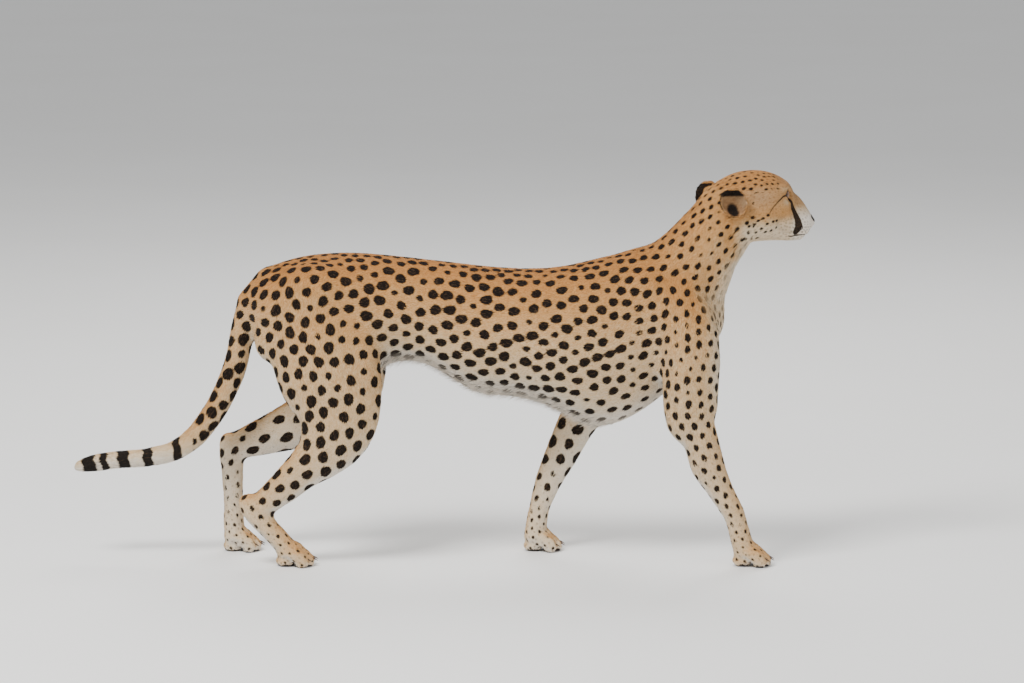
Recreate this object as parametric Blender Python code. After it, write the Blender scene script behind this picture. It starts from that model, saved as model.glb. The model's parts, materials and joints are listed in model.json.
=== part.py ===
"""A cheetah in mid walk, life-size, for a museum: the animal's solids, parted where a person names its parts.

Metres, +Z up. The cheetah faces +X and its left side is +Y. The origin is on the floor, at the middle of
its bounding box. Each solid reaches out to the tips of the coat. The body is lofted through named sections,
joined into one skin, smoothed, thinned to a light mesh and then parted with thin plane cuts.
"""

import math

import bmesh
import bpy
import numpy as np
from mathutils import Matrix, Vector

# Driving dimensions
GAP = 0.0003  # between two solids that touch
VOXEL = 0.0034  # grain of the joined skin
BODY_TRIANGLES = 4850  # all the flesh but the ears
SMOOTHING = 60  # rounds of it
SECTION_SIDES = 28
SECTION_STEP = 0.012  # between two rings of a loft
EAR_SIDES = 12
CRUMB = 20  # a loose group of no more faces than this is dropped

TRACK_NEAR = -0.074  # right paws, across the body
TRACK_FAR = 0.077  # left paws

HEAD_ORIGIN = (0.559, -0.004, 0.667)  # back of the skull, at the level of the jaw's lower edge
HEAD_YAW = 20.0  # degrees, the head looks a little to its left
HEAD_MIDDLE = Vector((0.680, 0.030, 0.730))

EYE_RADIUS = 0.0155
EYE_CENTRE = (0.1485, 0.0262, 0.0980)  # forward, sideways, up, in the head's own frame
EYE_TURN = 24.0  # degrees, each eye looks out to its side
ORBIT = (0.0110, 0.0175, 0.0138)  # hollow that the eye looks out of: depth, half width, half height
ORBIT_AHEAD = 0.0180  # from the middle of the eye to the middle of that hollow

EAR_CENTRE = (0.024, 0.0715, 0.093)  # middle of the cup's mouth
EAR_SPAN = (0.033, 0.030, 0.019)  # towards the tip, across, and the cup's depth
EAR_WALL = 0.0045
EAR_MOUTH = (-0.10, 0.93, 0.16)  # the way the cup opens
EAR_TIP = (-0.66, -0.05, 0.72)  # from the ear's root to its tip

TOE_SPREAD = (-0.0245, -0.0085, 0.0085, 0.0245)
TOE_REACH = (0.043, 0.055, 0.055, 0.043)

# Each row of the trunk: along the body, top, bottom, half width, and how much wider the top is than the
# bottom
TRUNK = (
    (-0.398, 0.578, 0.498, 0.034, 0.00),  # tail root
    (-0.375, 0.602, 0.452, 0.068, 0.00),  # buttock
    (-0.340, 0.624, 0.425, 0.088, 0.04),
    (-0.285, 0.640, 0.400, 0.098, 0.08),  # hip
    (-0.215, 0.647, 0.392, 0.096, 0.06),  # rump
    (-0.140, 0.6455, 0.398, 0.086, 0.00),
    (-0.085, 0.640, 0.418, 0.079, -0.02),  # flank
    (-0.030, 0.634, 0.412, 0.080, -0.03),
    (0.030, 0.627, 0.376, 0.084, -0.02),  # loin
    (0.080, 0.621, 0.349, 0.088, 0.00),
    (0.144, 0.6155, 0.344, 0.093, 0.02),  # last ribs
    (0.208, 0.6145, 0.330, 0.098, 0.04),
    (0.262, 0.620, 0.304, 0.100, 0.08),  # deepest ribs
    (0.312, 0.632, 0.280, 0.098, 0.12),
    (0.360, 0.644, 0.284, 0.094, 0.14),  # withers
    (0.410, 0.660, 0.306, 0.088, 0.12),
    (0.455, 0.666, 0.338, 0.082, 0.08),  # shoulder
    (0.505, 0.648, 0.386, 0.074, 0.02),
    (0.536, 0.622, 0.424, 0.066, 0.00),
    (0.554, 0.592, 0.448, 0.048, 0.00),  # breast
)

# Rows of every other loft: the section's centre, its half depth (fore and aft on a leg, along the nape on the
# neck), its half width, and how much wider its front or its nape is
NECK = (
    (0.425, 0.000, 0.515, 0.100, 0.070, 0.00),
    (0.476, 0.000, 0.565, 0.104, 0.067, -0.05),
    (0.517, 0.000, 0.613, 0.095, 0.062, -0.05),
    (0.548, 0.000, 0.660, 0.080, 0.057, 0.00),  # middle of the neck
    (0.578, 0.002, 0.700, 0.073, 0.056, 0.05),
    (0.600, 0.006, 0.738, 0.066, 0.055, 0.05),  # nape
)

NEAR_FORELEG = (
    (0.452, -0.038, 0.596, 0.038, 0.022, 0.0),  # top of the shoulder blade
    (0.480, -0.061, 0.556, 0.056, 0.034, 0.0),
    (0.512, -0.076, 0.500, 0.062, 0.041, 0.0),  # point of the shoulder
    (0.520, -0.082, 0.440, 0.062, 0.044, 0.0),
    (0.518, -0.086, 0.390, 0.062, 0.042, 0.0),  # upper arm
    (0.518, -0.087, 0.340, 0.059, 0.038, 0.1),
    (0.521, -0.087, 0.302, 0.053, 0.034, 0.1),  # elbow
    (0.540, -0.086, 0.268, 0.038, 0.031, 0.1),
    (0.547, -0.085, 0.238, 0.038, 0.030, 0.1),
    (0.557, -0.084, 0.206, 0.037, 0.028, 0.0),  # forearm
    (0.574, -0.082, 0.174, 0.030, 0.025, 0.0),
    (0.591, -0.080, 0.144, 0.027, 0.023, 0.0),
    (0.608, -0.078, 0.114, 0.0245, 0.0240, 0.0),  # wrist
    (0.618, -0.076, 0.086, 0.0225, 0.0245, 0.0),
    (0.625, -0.075, 0.058, 0.0220, 0.0260, 0.0),
    (0.632, TRACK_NEAR, 0.034, 0.0230, 0.0280, 0.0),  # ball of the paw
)

FAR_FORELEG = (
    (0.446, 0.036, 0.590, 0.036, 0.022, 0.0),  # top of the shoulder blade
    (0.468, 0.059, 0.550, 0.054, 0.034, 0.0),
    (0.475, 0.076, 0.498, 0.062, 0.040, 0.0),  # point of the shoulder
    (0.445, 0.082, 0.440, 0.066, 0.042, 0.0),
    (0.398, 0.086, 0.394, 0.064, 0.041, 0.0),  # upper arm
    (0.347, 0.087, 0.352, 0.060, 0.038, 0.0),
    (0.306, 0.087, 0.306, 0.050, 0.034, 0.1),  # elbow
    (0.280, 0.086, 0.262, 0.0415, 0.031, 0.1),
    (0.2625, 0.085, 0.226, 0.0385, 0.029, 0.1),
    (0.250, 0.084, 0.198, 0.0360, 0.027, 0.0),  # forearm
    (0.238, 0.083, 0.174, 0.0330, 0.0255, 0.0),
    (0.2265, 0.082, 0.150, 0.0300, 0.0240, 0.0),
    (0.2155, 0.081, 0.120, 0.0262, 0.0240, 0.0),  # wrist
    (0.2070, 0.080, 0.092, 0.0232, 0.0245, 0.0),
    (0.2010, 0.079, 0.062, 0.0222, 0.0260, 0.0),
    (0.1975, TRACK_FAR, 0.034, 0.0230, 0.0280, 0.0),  # ball of the paw
)

NEAR_THIGH = (
    (-0.290, -0.048, 0.560, 0.072, 0.040, 0.0),  # hip
    (-0.262, -0.062, 0.500, 0.100, 0.050, 0.0),
    (-0.241, -0.072, 0.445, 0.112, 0.053, 0.0),
    (-0.226, -0.080, 0.392, 0.110, 0.050, 0.0),  # thigh
    (-0.214, -0.085, 0.345, 0.098, 0.045, 0.0),
    (-0.213, -0.087, 0.305, 0.086, 0.041, 0.0),  # knee
    (-0.228, -0.087, 0.264, 0.072, 0.037, 0.0),
    (-0.254, -0.085, 0.230, 0.054, 0.033, 0.0),
    (-0.286, -0.083, 0.203, 0.043, 0.029, 0.0),  # shank
    (-0.328, -0.081, 0.164, 0.036, 0.025, 0.0),
    (-0.360, -0.079, 0.138, 0.030, 0.023, 0.0),
    (-0.385, -0.078, 0.120, 0.026, 0.022, 0.0),
)

NEAR_HOCK = (
    (-0.404, -0.078, 0.138, 0.021, 0.018, 0.0),  # point of the hock
    (-0.389, -0.077, 0.117, 0.026, 0.022, 0.0),
    (-0.372, -0.076, 0.096, 0.0245, 0.0225, 0.0),
    (-0.352, -0.075, 0.074, 0.0220, 0.0230, 0.0),
    (-0.333, -0.074, 0.052, 0.0210, 0.0245, 0.0),
    (-0.319, TRACK_NEAR, 0.034, 0.0220, 0.0265, 0.0),  # ball of the paw
)

FAR_THIGH = (
    (-0.290, 0.048, 0.560, 0.072, 0.040, 0.0),  # hip
    (-0.260, 0.062, 0.500, 0.100, 0.050, 0.0),
    (-0.238, 0.072, 0.448, 0.112, 0.053, 0.0),
    (-0.222, 0.080, 0.400, 0.108, 0.050, 0.0),  # thigh
    (-0.212, 0.086, 0.358, 0.096, 0.044, 0.0),
    (-0.222, 0.087, 0.318, 0.080, 0.039, 0.0),  # knee
    (-0.258, 0.087, 0.291, 0.065, 0.035, 0.0),
    (-0.300, 0.086, 0.272, 0.056, 0.031, 0.0),  # shank
    (-0.345, 0.084, 0.254, 0.048, 0.028, 0.0),
    (-0.385, 0.082, 0.240, 0.040, 0.025, 0.0),
    (-0.420, 0.080, 0.228, 0.033, 0.023, 0.0),
    (-0.440, 0.079, 0.220, 0.028, 0.022, 0.0),
)

FAR_HOCK = (
    (-0.450, 0.079, 0.240, 0.020, 0.018, 0.0),  # point of the hock
    (-0.446, 0.079, 0.214, 0.026, 0.022, 0.0),
    (-0.442, 0.079, 0.180, 0.0250, 0.0225, 0.0),
    (-0.441, 0.078, 0.140, 0.0228, 0.0225, 0.0),
    (-0.440, 0.078, 0.098, 0.0215, 0.0235, 0.0),
    (-0.440, 0.077, 0.060, 0.0215, 0.0250, 0.0),
    (-0.438, TRACK_FAR, 0.034, 0.0220, 0.0265, 0.0),  # ball of the paw
)

TAIL = (
    (-0.352, 0.000, 0.592, 0.034, 0.034, 0.0),  # root
    (-0.380, 0.000, 0.562, 0.030, 0.030, 0.0),
    (-0.402, 0.000, 0.520, 0.028, 0.028, 0.0),
    (-0.414, 0.001, 0.475, 0.0270, 0.0270, 0.0),
    (-0.4235, 0.002, 0.425, 0.0270, 0.0265, 0.0),
    (-0.450, 0.004, 0.3545, 0.0265, 0.0255, 0.0),
    (-0.487, 0.006, 0.291, 0.0255, 0.0245, 0.0),
    (-0.5215, 0.008, 0.2505, 0.0245, 0.0235, 0.0),
    (-0.556, 0.010, 0.2270, 0.0230, 0.0225, 0.0),
    (-0.617, 0.012, 0.2115, 0.0215, 0.0215, 0.0),
    (-0.677, 0.012, 0.2070, 0.0205, 0.0210, 0.0),
    (-0.735, 0.010, 0.1985, 0.0195, 0.0200, 0.0),
    (-0.760, 0.009, 0.1930, 0.0150, 0.0155, 0.0),  # tip
)

# Each cut: a point on it, and its normal
CUTS = (
    ((0.585, 0.004, 0.705), (0.62, 0.10, 0.78)),  # skull from neck
    ((0.490, 0.000, 0.600), (0.66, 0.00, 0.75)),  # neck from breast
    ((0.120, 0.000, 0.480), (1.00, 0.00, 0.00)),  # ribs from loin
    ((-0.120, 0.000, 0.530), (1.00, 0.00, 0.00)),  # loin from rump
    ((0.515, -0.086, 0.368), (-0.50, 0.00, 0.87)),  # right foreleg
    ((0.546, -0.085, 0.245), (-0.38, 0.00, 0.92)),
    ((0.613, -0.077, 0.100), (-0.38, 0.00, 0.92)),
    ((0.292, 0.086, 0.284), (0.35, 0.00, 0.94)),  # left foreleg
    ((0.240, 0.083, 0.180), (0.42, 0.00, 0.91)),
    ((0.211, 0.081, 0.105), (0.34, 0.00, 0.94)),
    ((-0.225, -0.085, 0.366), (0.08, 0.00, 1.00)),  # right hind leg
    ((-0.262, -0.085, 0.222), (0.72, 0.00, 0.69)),
    ((-0.371, -0.076, 0.090), (-0.30, 0.00, 0.95)),
    ((-0.225, 0.086, 0.366), (0.08, 0.00, 1.00)),  # left hind leg
    ((-0.285, 0.087, 0.278), (0.88, 0.00, 0.47)),
    ((-0.444, 0.079, 0.190), (0.05, 0.00, 1.00)),
    ((-0.4160, 0.001, 0.470), (0.20, 0.00, 0.98)),  # tail
    ((-0.462, 0.005, 0.333), (0.46, 0.00, 0.89)),
    ((-0.556, 0.010, 0.227), (0.90, 0.00, 0.43)),
)

# Roughly the middle of each piece
PLACES = {
    "head": (0.670, 0.030, 0.745),
    "neck": (0.540, 0.000, 0.650),
    "chest": (0.340, 0.000, 0.480),
    "loin": (0.000, 0.000, 0.500),
    "rump": (-0.260, 0.000, 0.520),
    "foreleg_right_upper": (0.520, -0.086, 0.310),
    "foreleg_right_lower": (0.580, -0.082, 0.170),
    "foreleg_right_paw": (0.640, -0.075, 0.040),
    "foreleg_left_upper": (0.268, 0.085, 0.235),
    "foreleg_left_lower": (0.225, 0.082, 0.140),
    "foreleg_left_paw": (0.210, 0.078, 0.040),
    "hindleg_right_thigh": (-0.220, -0.085, 0.300),
    "hindleg_right_shank": (-0.330, -0.080, 0.160),
    "hindleg_right_foot": (-0.320, -0.075, 0.045),
    "hindleg_left_thigh": (-0.230, 0.085, 0.330),
    "hindleg_left_shank": (-0.370, 0.082, 0.245),
    "hindleg_left_foot": (-0.430, 0.078, 0.070),
    "tail_1": (-0.435, 0.002, 0.410),
    "tail_2": (-0.505, 0.007, 0.275),
    "tail_3": (-0.660, 0.012, 0.208),
}

FUR_LOOK = (0.62, 0.40, 0.20), 0.85
EYE_LOOK = (0.30, 0.13, 0.03), 0.10

# The head's lofts, in its own frame: forward, sideways, up, half height, half width, and how much wider
# the top is
MUZZLE = (
    (0.118, 0.000, 0.060, 0.052, 0.034, 0.0),
    (0.146, 0.000, 0.063, 0.048, 0.030, -0.2),
    (0.170, 0.000, 0.059, 0.045, 0.029, -0.3),  # between the eyes and the nose
    (0.190, 0.000, 0.050, 0.038, 0.0295, -0.3),
    (0.204, 0.000, 0.043, 0.028, 0.030, -0.3),
    (0.216, 0.000, 0.037, 0.021, 0.027, -0.3),
    (0.224, 0.000, 0.033, 0.015, 0.022, -0.2),
)

JAW = (
    (0.070, 0.000, 0.030, 0.030, 0.046, 0.2),
    (0.110, 0.000, 0.024, 0.025, 0.042, 0.2),
    (0.150, 0.000, 0.016, 0.017, 0.034, 0.2),
    (0.185, 0.000, 0.010, 0.013, 0.026, 0.1),
    (0.205, 0.000, 0.010, 0.011, 0.019, 0.1),  # chin
)


def clear_scene():
    for item in list(bpy.data.objects):
        bpy.data.objects.remove(item)


def material(name, colour, roughness):
    made = bpy.data.materials.new(name)
    made.use_nodes = True
    shader = made.node_tree.nodes["Principled BSDF"]
    shader.inputs["Base Color"].default_value = (*colour, 1.0)
    shader.inputs["Roughness"].default_value = roughness
    shader.inputs["Metallic"].default_value = 0.0
    return made


def new_object(name, mesh):
    made = bpy.data.objects.new(name, mesh)
    bpy.context.scene.collection.objects.link(made)
    return made


def smooth_rows(rows, step):
    """Rows on one smooth curve through the given ones, about step apart, by Hermite pieces."""
    points = np.array(rows, float)
    along = np.concatenate([[0.0], np.cumsum(np.linalg.norm(np.diff(points[:, :3], axis=0), axis=1))])
    slopes = np.gradient(points, along, axis=0)
    count = max(len(rows), int(along[-1] / step) + 1)
    places = np.linspace(0.0, along[-1], count)
    piece = np.clip(np.searchsorted(along, places, side="right") - 1, 0, len(rows) - 2)
    length = (along[piece + 1] - along[piece])[:, None]
    t = ((places - along[piece]) / length[:, 0])[:, None]
    start = (2 * t**3 - 3 * t**2 + 1) * points[piece] + (t**3 - 2 * t**2 + t) * length * slopes[piece]
    end = (3 * t**2 - 2 * t**3) * points[piece + 1] + (t**3 - t**2) * length * slopes[piece + 1]
    return start + end


def loft(name, rows, step=SECTION_STEP, sides=SECTION_SIDES, facing=None):
    """A closed body through oval sections, with rounded ends. They stand square to their path or facing."""
    table = smooth_rows(rows, step)
    path = np.gradient(table[:, :3], axis=0)
    if facing:
        path[:] = facing
    path /= np.linalg.norm(path, axis=1)[:, None]
    across = np.array([0.0, 1.0, 0.0]) - path * path[:, 1:2]
    across /= np.linalg.norm(across, axis=1)[:, None]
    outward = np.cross(path, across)
    ends = ((0, -0.80, 0.45), (0, -0.50, 0.80)), ((-1, 0.50, 0.80), (-1, 0.80, 0.45))
    plan = list(ends[0]) + [(i, 0.0, 1.0) for i in range(len(table))] + list(ends[1])
    angles = np.arange(sides) * 2 * math.pi / sides
    mesh = bmesh.new()
    rings = []
    for row, shift, shrink in plan:
        centre = table[row, :3] + path[row] * shift * min(table[row, 3:5])
        deep = np.cos(angles) * table[row, 3] * shrink
        wide = np.sin(angles) * table[row, 4] * shrink * (1 + table[row, 5] * np.cos(angles))
        ring = centre + deep[:, None] * outward[row] + wide[:, None] * across[row]
        rings.append([mesh.verts.new(point) for point in ring])
    for lower, upper in zip(rings, rings[1:]):
        for i in range(sides):
            j = (i + 1) % sides
            mesh.faces.new((lower[i], lower[j], upper[j], upper[i]))
    mesh.faces.new(rings[0][::-1])
    mesh.faces.new(rings[-1])
    bmesh.ops.recalc_face_normals(mesh, faces=mesh.faces)
    data = bpy.data.meshes.new(name)
    mesh.to_mesh(data)
    mesh.free()
    return new_object(name, data)


def ball(name, centre, radii, pitch=0.0, yaw=0.0, segments=24):
    """An ellipsoid: pitch, in degrees, lowers its front end, and yaw turns that end to the left."""
    mesh = bmesh.new()
    bmesh.ops.create_uvsphere(mesh, u_segments=segments, v_segments=segments // 2, radius=1.0)
    turn = Matrix.Rotation(math.radians(yaw), 4, "Z") @ Matrix.Rotation(math.radians(pitch), 4, "Y")
    place = Matrix.Translation(centre) @ turn @ Matrix.Diagonal((*radii, 1.0))
    bmesh.ops.transform(mesh, matrix=place, verts=mesh.verts)
    data = bpy.data.meshes.new(name)
    mesh.to_mesh(data)
    mesh.free()
    return new_object(name, data)


def trunk():
    """The trunk's rows give its top and bottom, which this turns into section centres and half heights."""
    rows = [(x, 0.0, (top + low) / 2, (top - low) / 2, wide, egg) for x, top, low, wide, egg in TRUNK]
    return loft("trunk", rows, sides=40, facing=(1.0, 0.0, 0.0))


def muscles(side):
    """Muscles that show under the coat, on the left for side 1 and on the right for side -1."""
    blade = ball("blade", (0.440, side * 0.062, 0.548), (0.084, 0.028, 0.050), 48)
    breast = ball("breast", (0.528, side * 0.042, 0.490), (0.054, 0.036, 0.080))
    rump = ball("rump", (-0.265, side * 0.056, 0.560), (0.095, 0.046, 0.075), -12)
    seat = ball("seat", (-0.335, side * 0.044, 0.490), (0.050, 0.040, 0.075), 20)
    return [blade, breast, rump, seat]


def paw(ball_x, track):
    """A paw with four toes over a heel pad. It reaches a little below the floor, where it is cut flat."""
    made = [
        ball("knuckles", (ball_x + 0.006, track, 0.031), (0.030, 0.0305, 0.021)),
        ball("heel_pad", (ball_x - 0.004, track, 0.010), (0.021, 0.0225, 0.0135)),
    ]
    for spread, reach in zip(TOE_SPREAD, TOE_REACH):
        middle = (ball_x + reach * 0.52, track + spread * 0.95, 0.0235)
        tip = (ball_x + reach - 0.012, track + spread, 0.0110)
        made.append(ball("toe", middle, (0.0205, 0.0098, 0.0145), 22))
        made.append(ball("toe_tip", tip, (0.0150, 0.0092, 0.0135), 10))
    return made


def head_matrix():
    return Matrix.Translation(HEAD_ORIGIN) @ Matrix.Rotation(math.radians(HEAD_YAW), 4, "Z")


def head():
    """The skull's masses, built in the head's own frame and then turned with it."""
    made = [
        ball("cranium", (0.093, 0.0, 0.090), (0.095, 0.058, 0.060)),
        ball("forehead", (0.140, 0.0, 0.090), (0.047, 0.043, 0.046), 20),
        ball("nape", (0.034, 0.0, 0.076), (0.046, 0.052, 0.056)),
        ball("nose", (0.2200, 0.0, 0.0372), (0.0130, 0.0150, 0.0115), 28),
        ball("lip", (0.2065, 0.0, 0.0150), (0.0150, 0.0195, 0.0135)),
        ball("chin", (0.2030, 0.0, 0.0060), (0.0120, 0.0140, 0.0095)),
        loft("muzzle", MUZZLE, 0.006),
        loft("jaw", JAW, 0.008),
    ]
    for side in (1, -1):
        made += [
            ball("brow", (0.1510, side * 0.0270, 0.1140), (0.0230, 0.0190, 0.0105), 20, side * -22),
            ball("temple", (0.1150, side * 0.0400, 0.0930), (0.0330, 0.0205, 0.0280), 0, side * -10),
            ball("cheekbone", (0.1380, side * 0.0380, 0.0720), (0.0330, 0.0210, 0.0185), 20, side * -26),
            ball("jaw_muscle", (0.0930, side * 0.0400, 0.0560), (0.0460, 0.0270, 0.0420), 20),
            ball("ruff", (0.0500, side * 0.0380, 0.0400), (0.0360, 0.0280, 0.0420)),
            ball("ear_root", (0.0300, side * 0.0440, 0.0910), (0.0260, 0.0110, 0.0240)),
            ball("whisker_pad", (0.2030, side * 0.0158, 0.0270), (0.0220, 0.0155, 0.0185), 12),
        ]
    for piece in made:
        piece.data.transform(head_matrix())
    return made


def joined(name, pieces):
    for item in bpy.context.selected_objects:
        item.select_set(False)
    for piece in pieces:
        piece.select_set(True)
    bpy.context.view_layer.objects.active = pieces[0]
    bpy.ops.object.join()
    pieces[0].name = name
    return pieces[0]


def ramp(value, start, end):
    """0 up to start, 1 from end on."""
    return min(max((value - start) / (end - start), 0.0), 1.0)


def region_weights(body, name, weight_of):
    """A vertex group whose weight at each vertex comes from its place."""
    group = body.vertex_groups.new(name=name)
    for vertex in body.data.vertices:
        group.add([vertex.index], weight_of(vertex.co), "REPLACE")
    return name


def coarseness(place):
    """How readily the mesh is thinned: least on the head, a little less on the paws than on the trunk."""
    from_head = (place - HEAD_MIDDLE).length
    return min(0.35 + 0.65 * ramp(from_head, 0.13, 0.19), 0.90 + 0.10 * ramp(place.z, 0.05, 0.11))


def softness(place):
    """How far the muscles melt into each other: 1 on the trunk, less down the limbs, least on the paws."""
    limb = 0.16 + 0.84 * ramp(place.z, 0.26, 0.40)
    paw_top = 0.22 + 0.78 * ramp(place.z, 0.04, 0.09)
    tail = 0.20 + 0.80 * max(ramp(place.x, -0.41, -0.37), ramp(place.z, 0.50, 0.58))
    skull = 0.11 + 0.89 * ramp((place - HEAD_MIDDLE).length, 0.12, 0.24)
    return limb * paw_top * tail * skull


def apply_modifiers(item):
    bpy.context.view_layer.objects.active = item
    item.select_set(True)
    for modifier in list(item.modifiers):
        bpy.ops.object.modifier_apply(modifier=modifier.name)


def whole_body():
    """All the flesh as one closed skin, smoothed less on the head and paws, then thinned."""
    pieces = [trunk(), loft("neck", NECK), loft("tail", TAIL, 0.010, 20)]
    pieces += [loft("foreleg", rows) for rows in (NEAR_FORELEG, FAR_FORELEG)]
    pieces += [loft("thigh", rows) for rows in (NEAR_THIGH, FAR_THIGH)]
    pieces += [loft("hock", rows, 0.008, 20) for rows in (NEAR_HOCK, FAR_HOCK)]
    pieces += muscles(1) + muscles(-1)
    for rows in (NEAR_FORELEG, FAR_FORELEG, NEAR_HOCK, FAR_HOCK):
        pieces += paw(rows[-1][0], rows[-1][1])
    pieces += head()
    body = joined("body", pieces)
    grain = body.modifiers.new("One skin", "REMESH")
    grain.mode = "VOXEL"
    grain.voxel_size = VOXEL
    apply_modifiers(body)
    ease = body.modifiers.new("Ease", "SMOOTH")
    ease.factor = 0.6
    ease.iterations = SMOOTHING
    ease.vertex_group = region_weights(body, "soft", softness)
    apply_modifiers(body)
    thin = body.modifiers.new("Thin", "DECIMATE")
    thin.ratio = BODY_TRIANGLES / (2 * len(body.data.polygons))
    thin.vertex_group = region_weights(body, "thin", coarseness)
    thin.vertex_group_factor = 0.02
    apply_modifiers(body)
    return body


def ring_across(mesh, centre, normal):
    """The closed ring of faces that a plane crosses, taken where it passes nearest to centre."""
    above = {vert: (vert.co - centre).dot(normal) > 0 for vert in mesh.verts}
    crossing = {face for face in mesh.faces if len({above[vert] for vert in face.verts}) == 2}
    start = min(crossing, key=lambda face: (face.calc_center_median() - centre).length)
    ring = {start}
    waiting = [start]
    while waiting:
        for edge in waiting.pop().edges:
            for face in edge.link_faces:
                if above[edge.verts[0]] != above[edge.verts[1]] and face not in ring:
                    ring.add(face)
                    waiting.append(face)
    return ring


def slit(mesh, centre, normal):
    """A cut one gap wide through the limb round centre. Both of its faces are closed flat."""
    centre = Vector(centre)
    normal = Vector(normal).normalized()
    for side in (-0.5, 0.5):
        place = centre + normal * GAP * side
        ring = ring_across(mesh, place, normal)
        near = set(ring)
        near.update(edge for face in ring for edge in face.edges)
        near.update(vert for face in ring for vert in face.verts)
        bmesh.ops.bisect_plane(mesh, geom=list(near), dist=1e-7, plane_co=place, plane_no=normal)
    bmesh.ops.delete(mesh, geom=list(ring_across(mesh, centre, normal)), context="FACES")
    rims = [edge for edge in mesh.edges if edge.is_boundary]
    caps = bmesh.ops.holes_fill(mesh, edges=rims, sides=0)["faces"]
    bmesh.ops.triangulate(mesh, faces=caps)


def flat_soles(mesh):
    """The paws are cut level with the floor."""
    whole = mesh.verts[:] + mesh.edges[:] + mesh.faces[:]
    floor = {"plane_co": (0, 0, 0), "plane_no": (0, 0, 1)}
    bmesh.ops.bisect_plane(mesh, geom=whole, dist=1e-6, clear_inner=True, **floor)
    rims = [edge for edge in mesh.edges if edge.is_boundary]
    soles = bmesh.ops.holes_fill(mesh, edges=rims, sides=0)["faces"]
    bmesh.ops.triangulate(mesh, faces=soles)


def islands(mesh):
    """The separate closed bodies of a mesh, as lists of faces."""
    left = set(mesh.faces)
    found = []
    while left:
        reached = {left.pop()}
        edge_of = list(reached)
        while edge_of:
            face = edge_of.pop()
            for edge in face.edges:
                for other in edge.link_faces:
                    if other in left:
                        left.discard(other)
                        reached.add(other)
                        edge_of.append(other)
        found.append(list(reached))
    return found


def body_of(name, faces):
    """A new object that holds only these faces."""
    mesh = bmesh.new()
    made = {}
    for face in faces:
        for vert in face.verts:
            if vert not in made:
                made[vert] = mesh.verts.new(vert.co)
        mesh.faces.new([made[vert] for vert in face.verts])
    data = bpy.data.meshes.new(name)
    mesh.to_mesh(data)
    mesh.free()
    return new_object(name, data)


def parted(body):
    """The whole body, cut and named. A piece takes the name whose place is nearest to its middle."""
    mesh = bmesh.new()
    mesh.from_mesh(body.data)
    flat_soles(mesh)
    bmesh.ops.triangulate(mesh, faces=[face for face in mesh.faces if len(face.verts) > 3])
    for centre, normal in CUTS:
        slit(mesh, centre, normal)
    pieces = {}
    for faces in [group for group in islands(mesh) if len(group) > CRUMB]:
        middle = sum((face.calc_center_median() for face in faces), Vector()) / len(faces)
        name = min(PLACES, key=lambda place: (Vector(PLACES[place]) - middle).length)
        pieces[name] = body_of(name, faces)
    mesh.free()
    bpy.data.objects.remove(body)
    return pieces


def boolean(item, other, operation="DIFFERENCE"):
    cut = item.modifiers.new("Cut", "BOOLEAN")
    cut.operation = operation
    cut.solver = "EXACT"
    cut.object = other
    apply_modifiers(item)
    bpy.data.objects.remove(other)


def eye(side, radius):
    forward, sideways, up = EYE_CENTRE
    made = ball("eye", (forward, side * sideways, up), (radius, radius, radius), segments=16)
    made.data.transform(head_matrix())
    return made


def orbit(side):
    """The hollow between brow, nose and cheekbone, which bares the front of the eye."""
    forward, sideways, up = EYE_CENTRE
    turn = math.radians(EYE_TURN)
    place = (forward + ORBIT_AHEAD * math.cos(turn), side * (sideways + ORBIT_AHEAD * math.sin(turn)), up)
    made = ball("orbit", place, ORBIT, yaw=side * EYE_TURN, segments=16)
    made.data.transform(head_matrix())
    return made


def ear_cup(side):
    """A cup with a wall: the outer shell from its root to the rim, then the inner one back down."""
    mouth = Vector((EAR_MOUTH[0], side * EAR_MOUTH[1], EAR_MOUTH[2])).normalized()
    tip = Vector((EAR_TIP[0], side * EAR_TIP[1], EAR_TIP[2]))
    tip = (tip - mouth * tip.dot(mouth)).normalized()
    across = mouth.cross(tip)
    centre = Vector((EAR_CENTRE[0], side * EAR_CENTRE[1], EAR_CENTRE[2]))
    outer = [(math.radians(angle), 0.0) for angle in (0, 25, 48, 70, 92)]
    inner = [(math.radians(angle), EAR_WALL) for angle in (90, 68, 46, 24, 0)]
    mesh = bmesh.new()
    rings = []
    for angle, wall in outer + inner:
        reach = [(span - wall) * math.sin(angle) for span in EAR_SPAN[:2]]
        depth = -(EAR_SPAN[2] - wall) * math.cos(angle)
        if angle == 0:
            rings.append([mesh.verts.new(centre + mouth * depth)])
            continue
        ring = []
        for i in range(EAR_SIDES):
            turn = 2 * math.pi * i / EAR_SIDES
            round_rim = tip * reach[0] * math.cos(turn) + across * reach[1] * math.sin(turn)
            ring.append(centre + round_rim + mouth * depth)
        rings.append([mesh.verts.new(point) for point in ring])
    for lower, upper in zip(rings, rings[1:]):
        for i in range(EAR_SIDES):
            j = (i + 1) % EAR_SIDES
            below = [lower[i % len(lower)], lower[j % len(lower)]]
            corners = below + [upper[j % len(upper)], upper[i % len(upper)]]
            mesh.faces.new(list(dict.fromkeys(corners)))
    bmesh.ops.recalc_face_normals(mesh, faces=mesh.faces)
    data = bpy.data.meshes.new("ear")
    mesh.to_mesh(data)
    mesh.free()
    made = new_object("ear", data)
    made.data.transform(head_matrix())
    return made


def swollen(item, by):
    """A copy whose surface stands this far outside the item's."""
    made = new_object("swollen", item.data.copy())
    push = made.modifiers.new("Push", "DISPLACE")
    push.strength = by
    push.mid_level = 0.0
    apply_modifiers(made)
    return made


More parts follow.
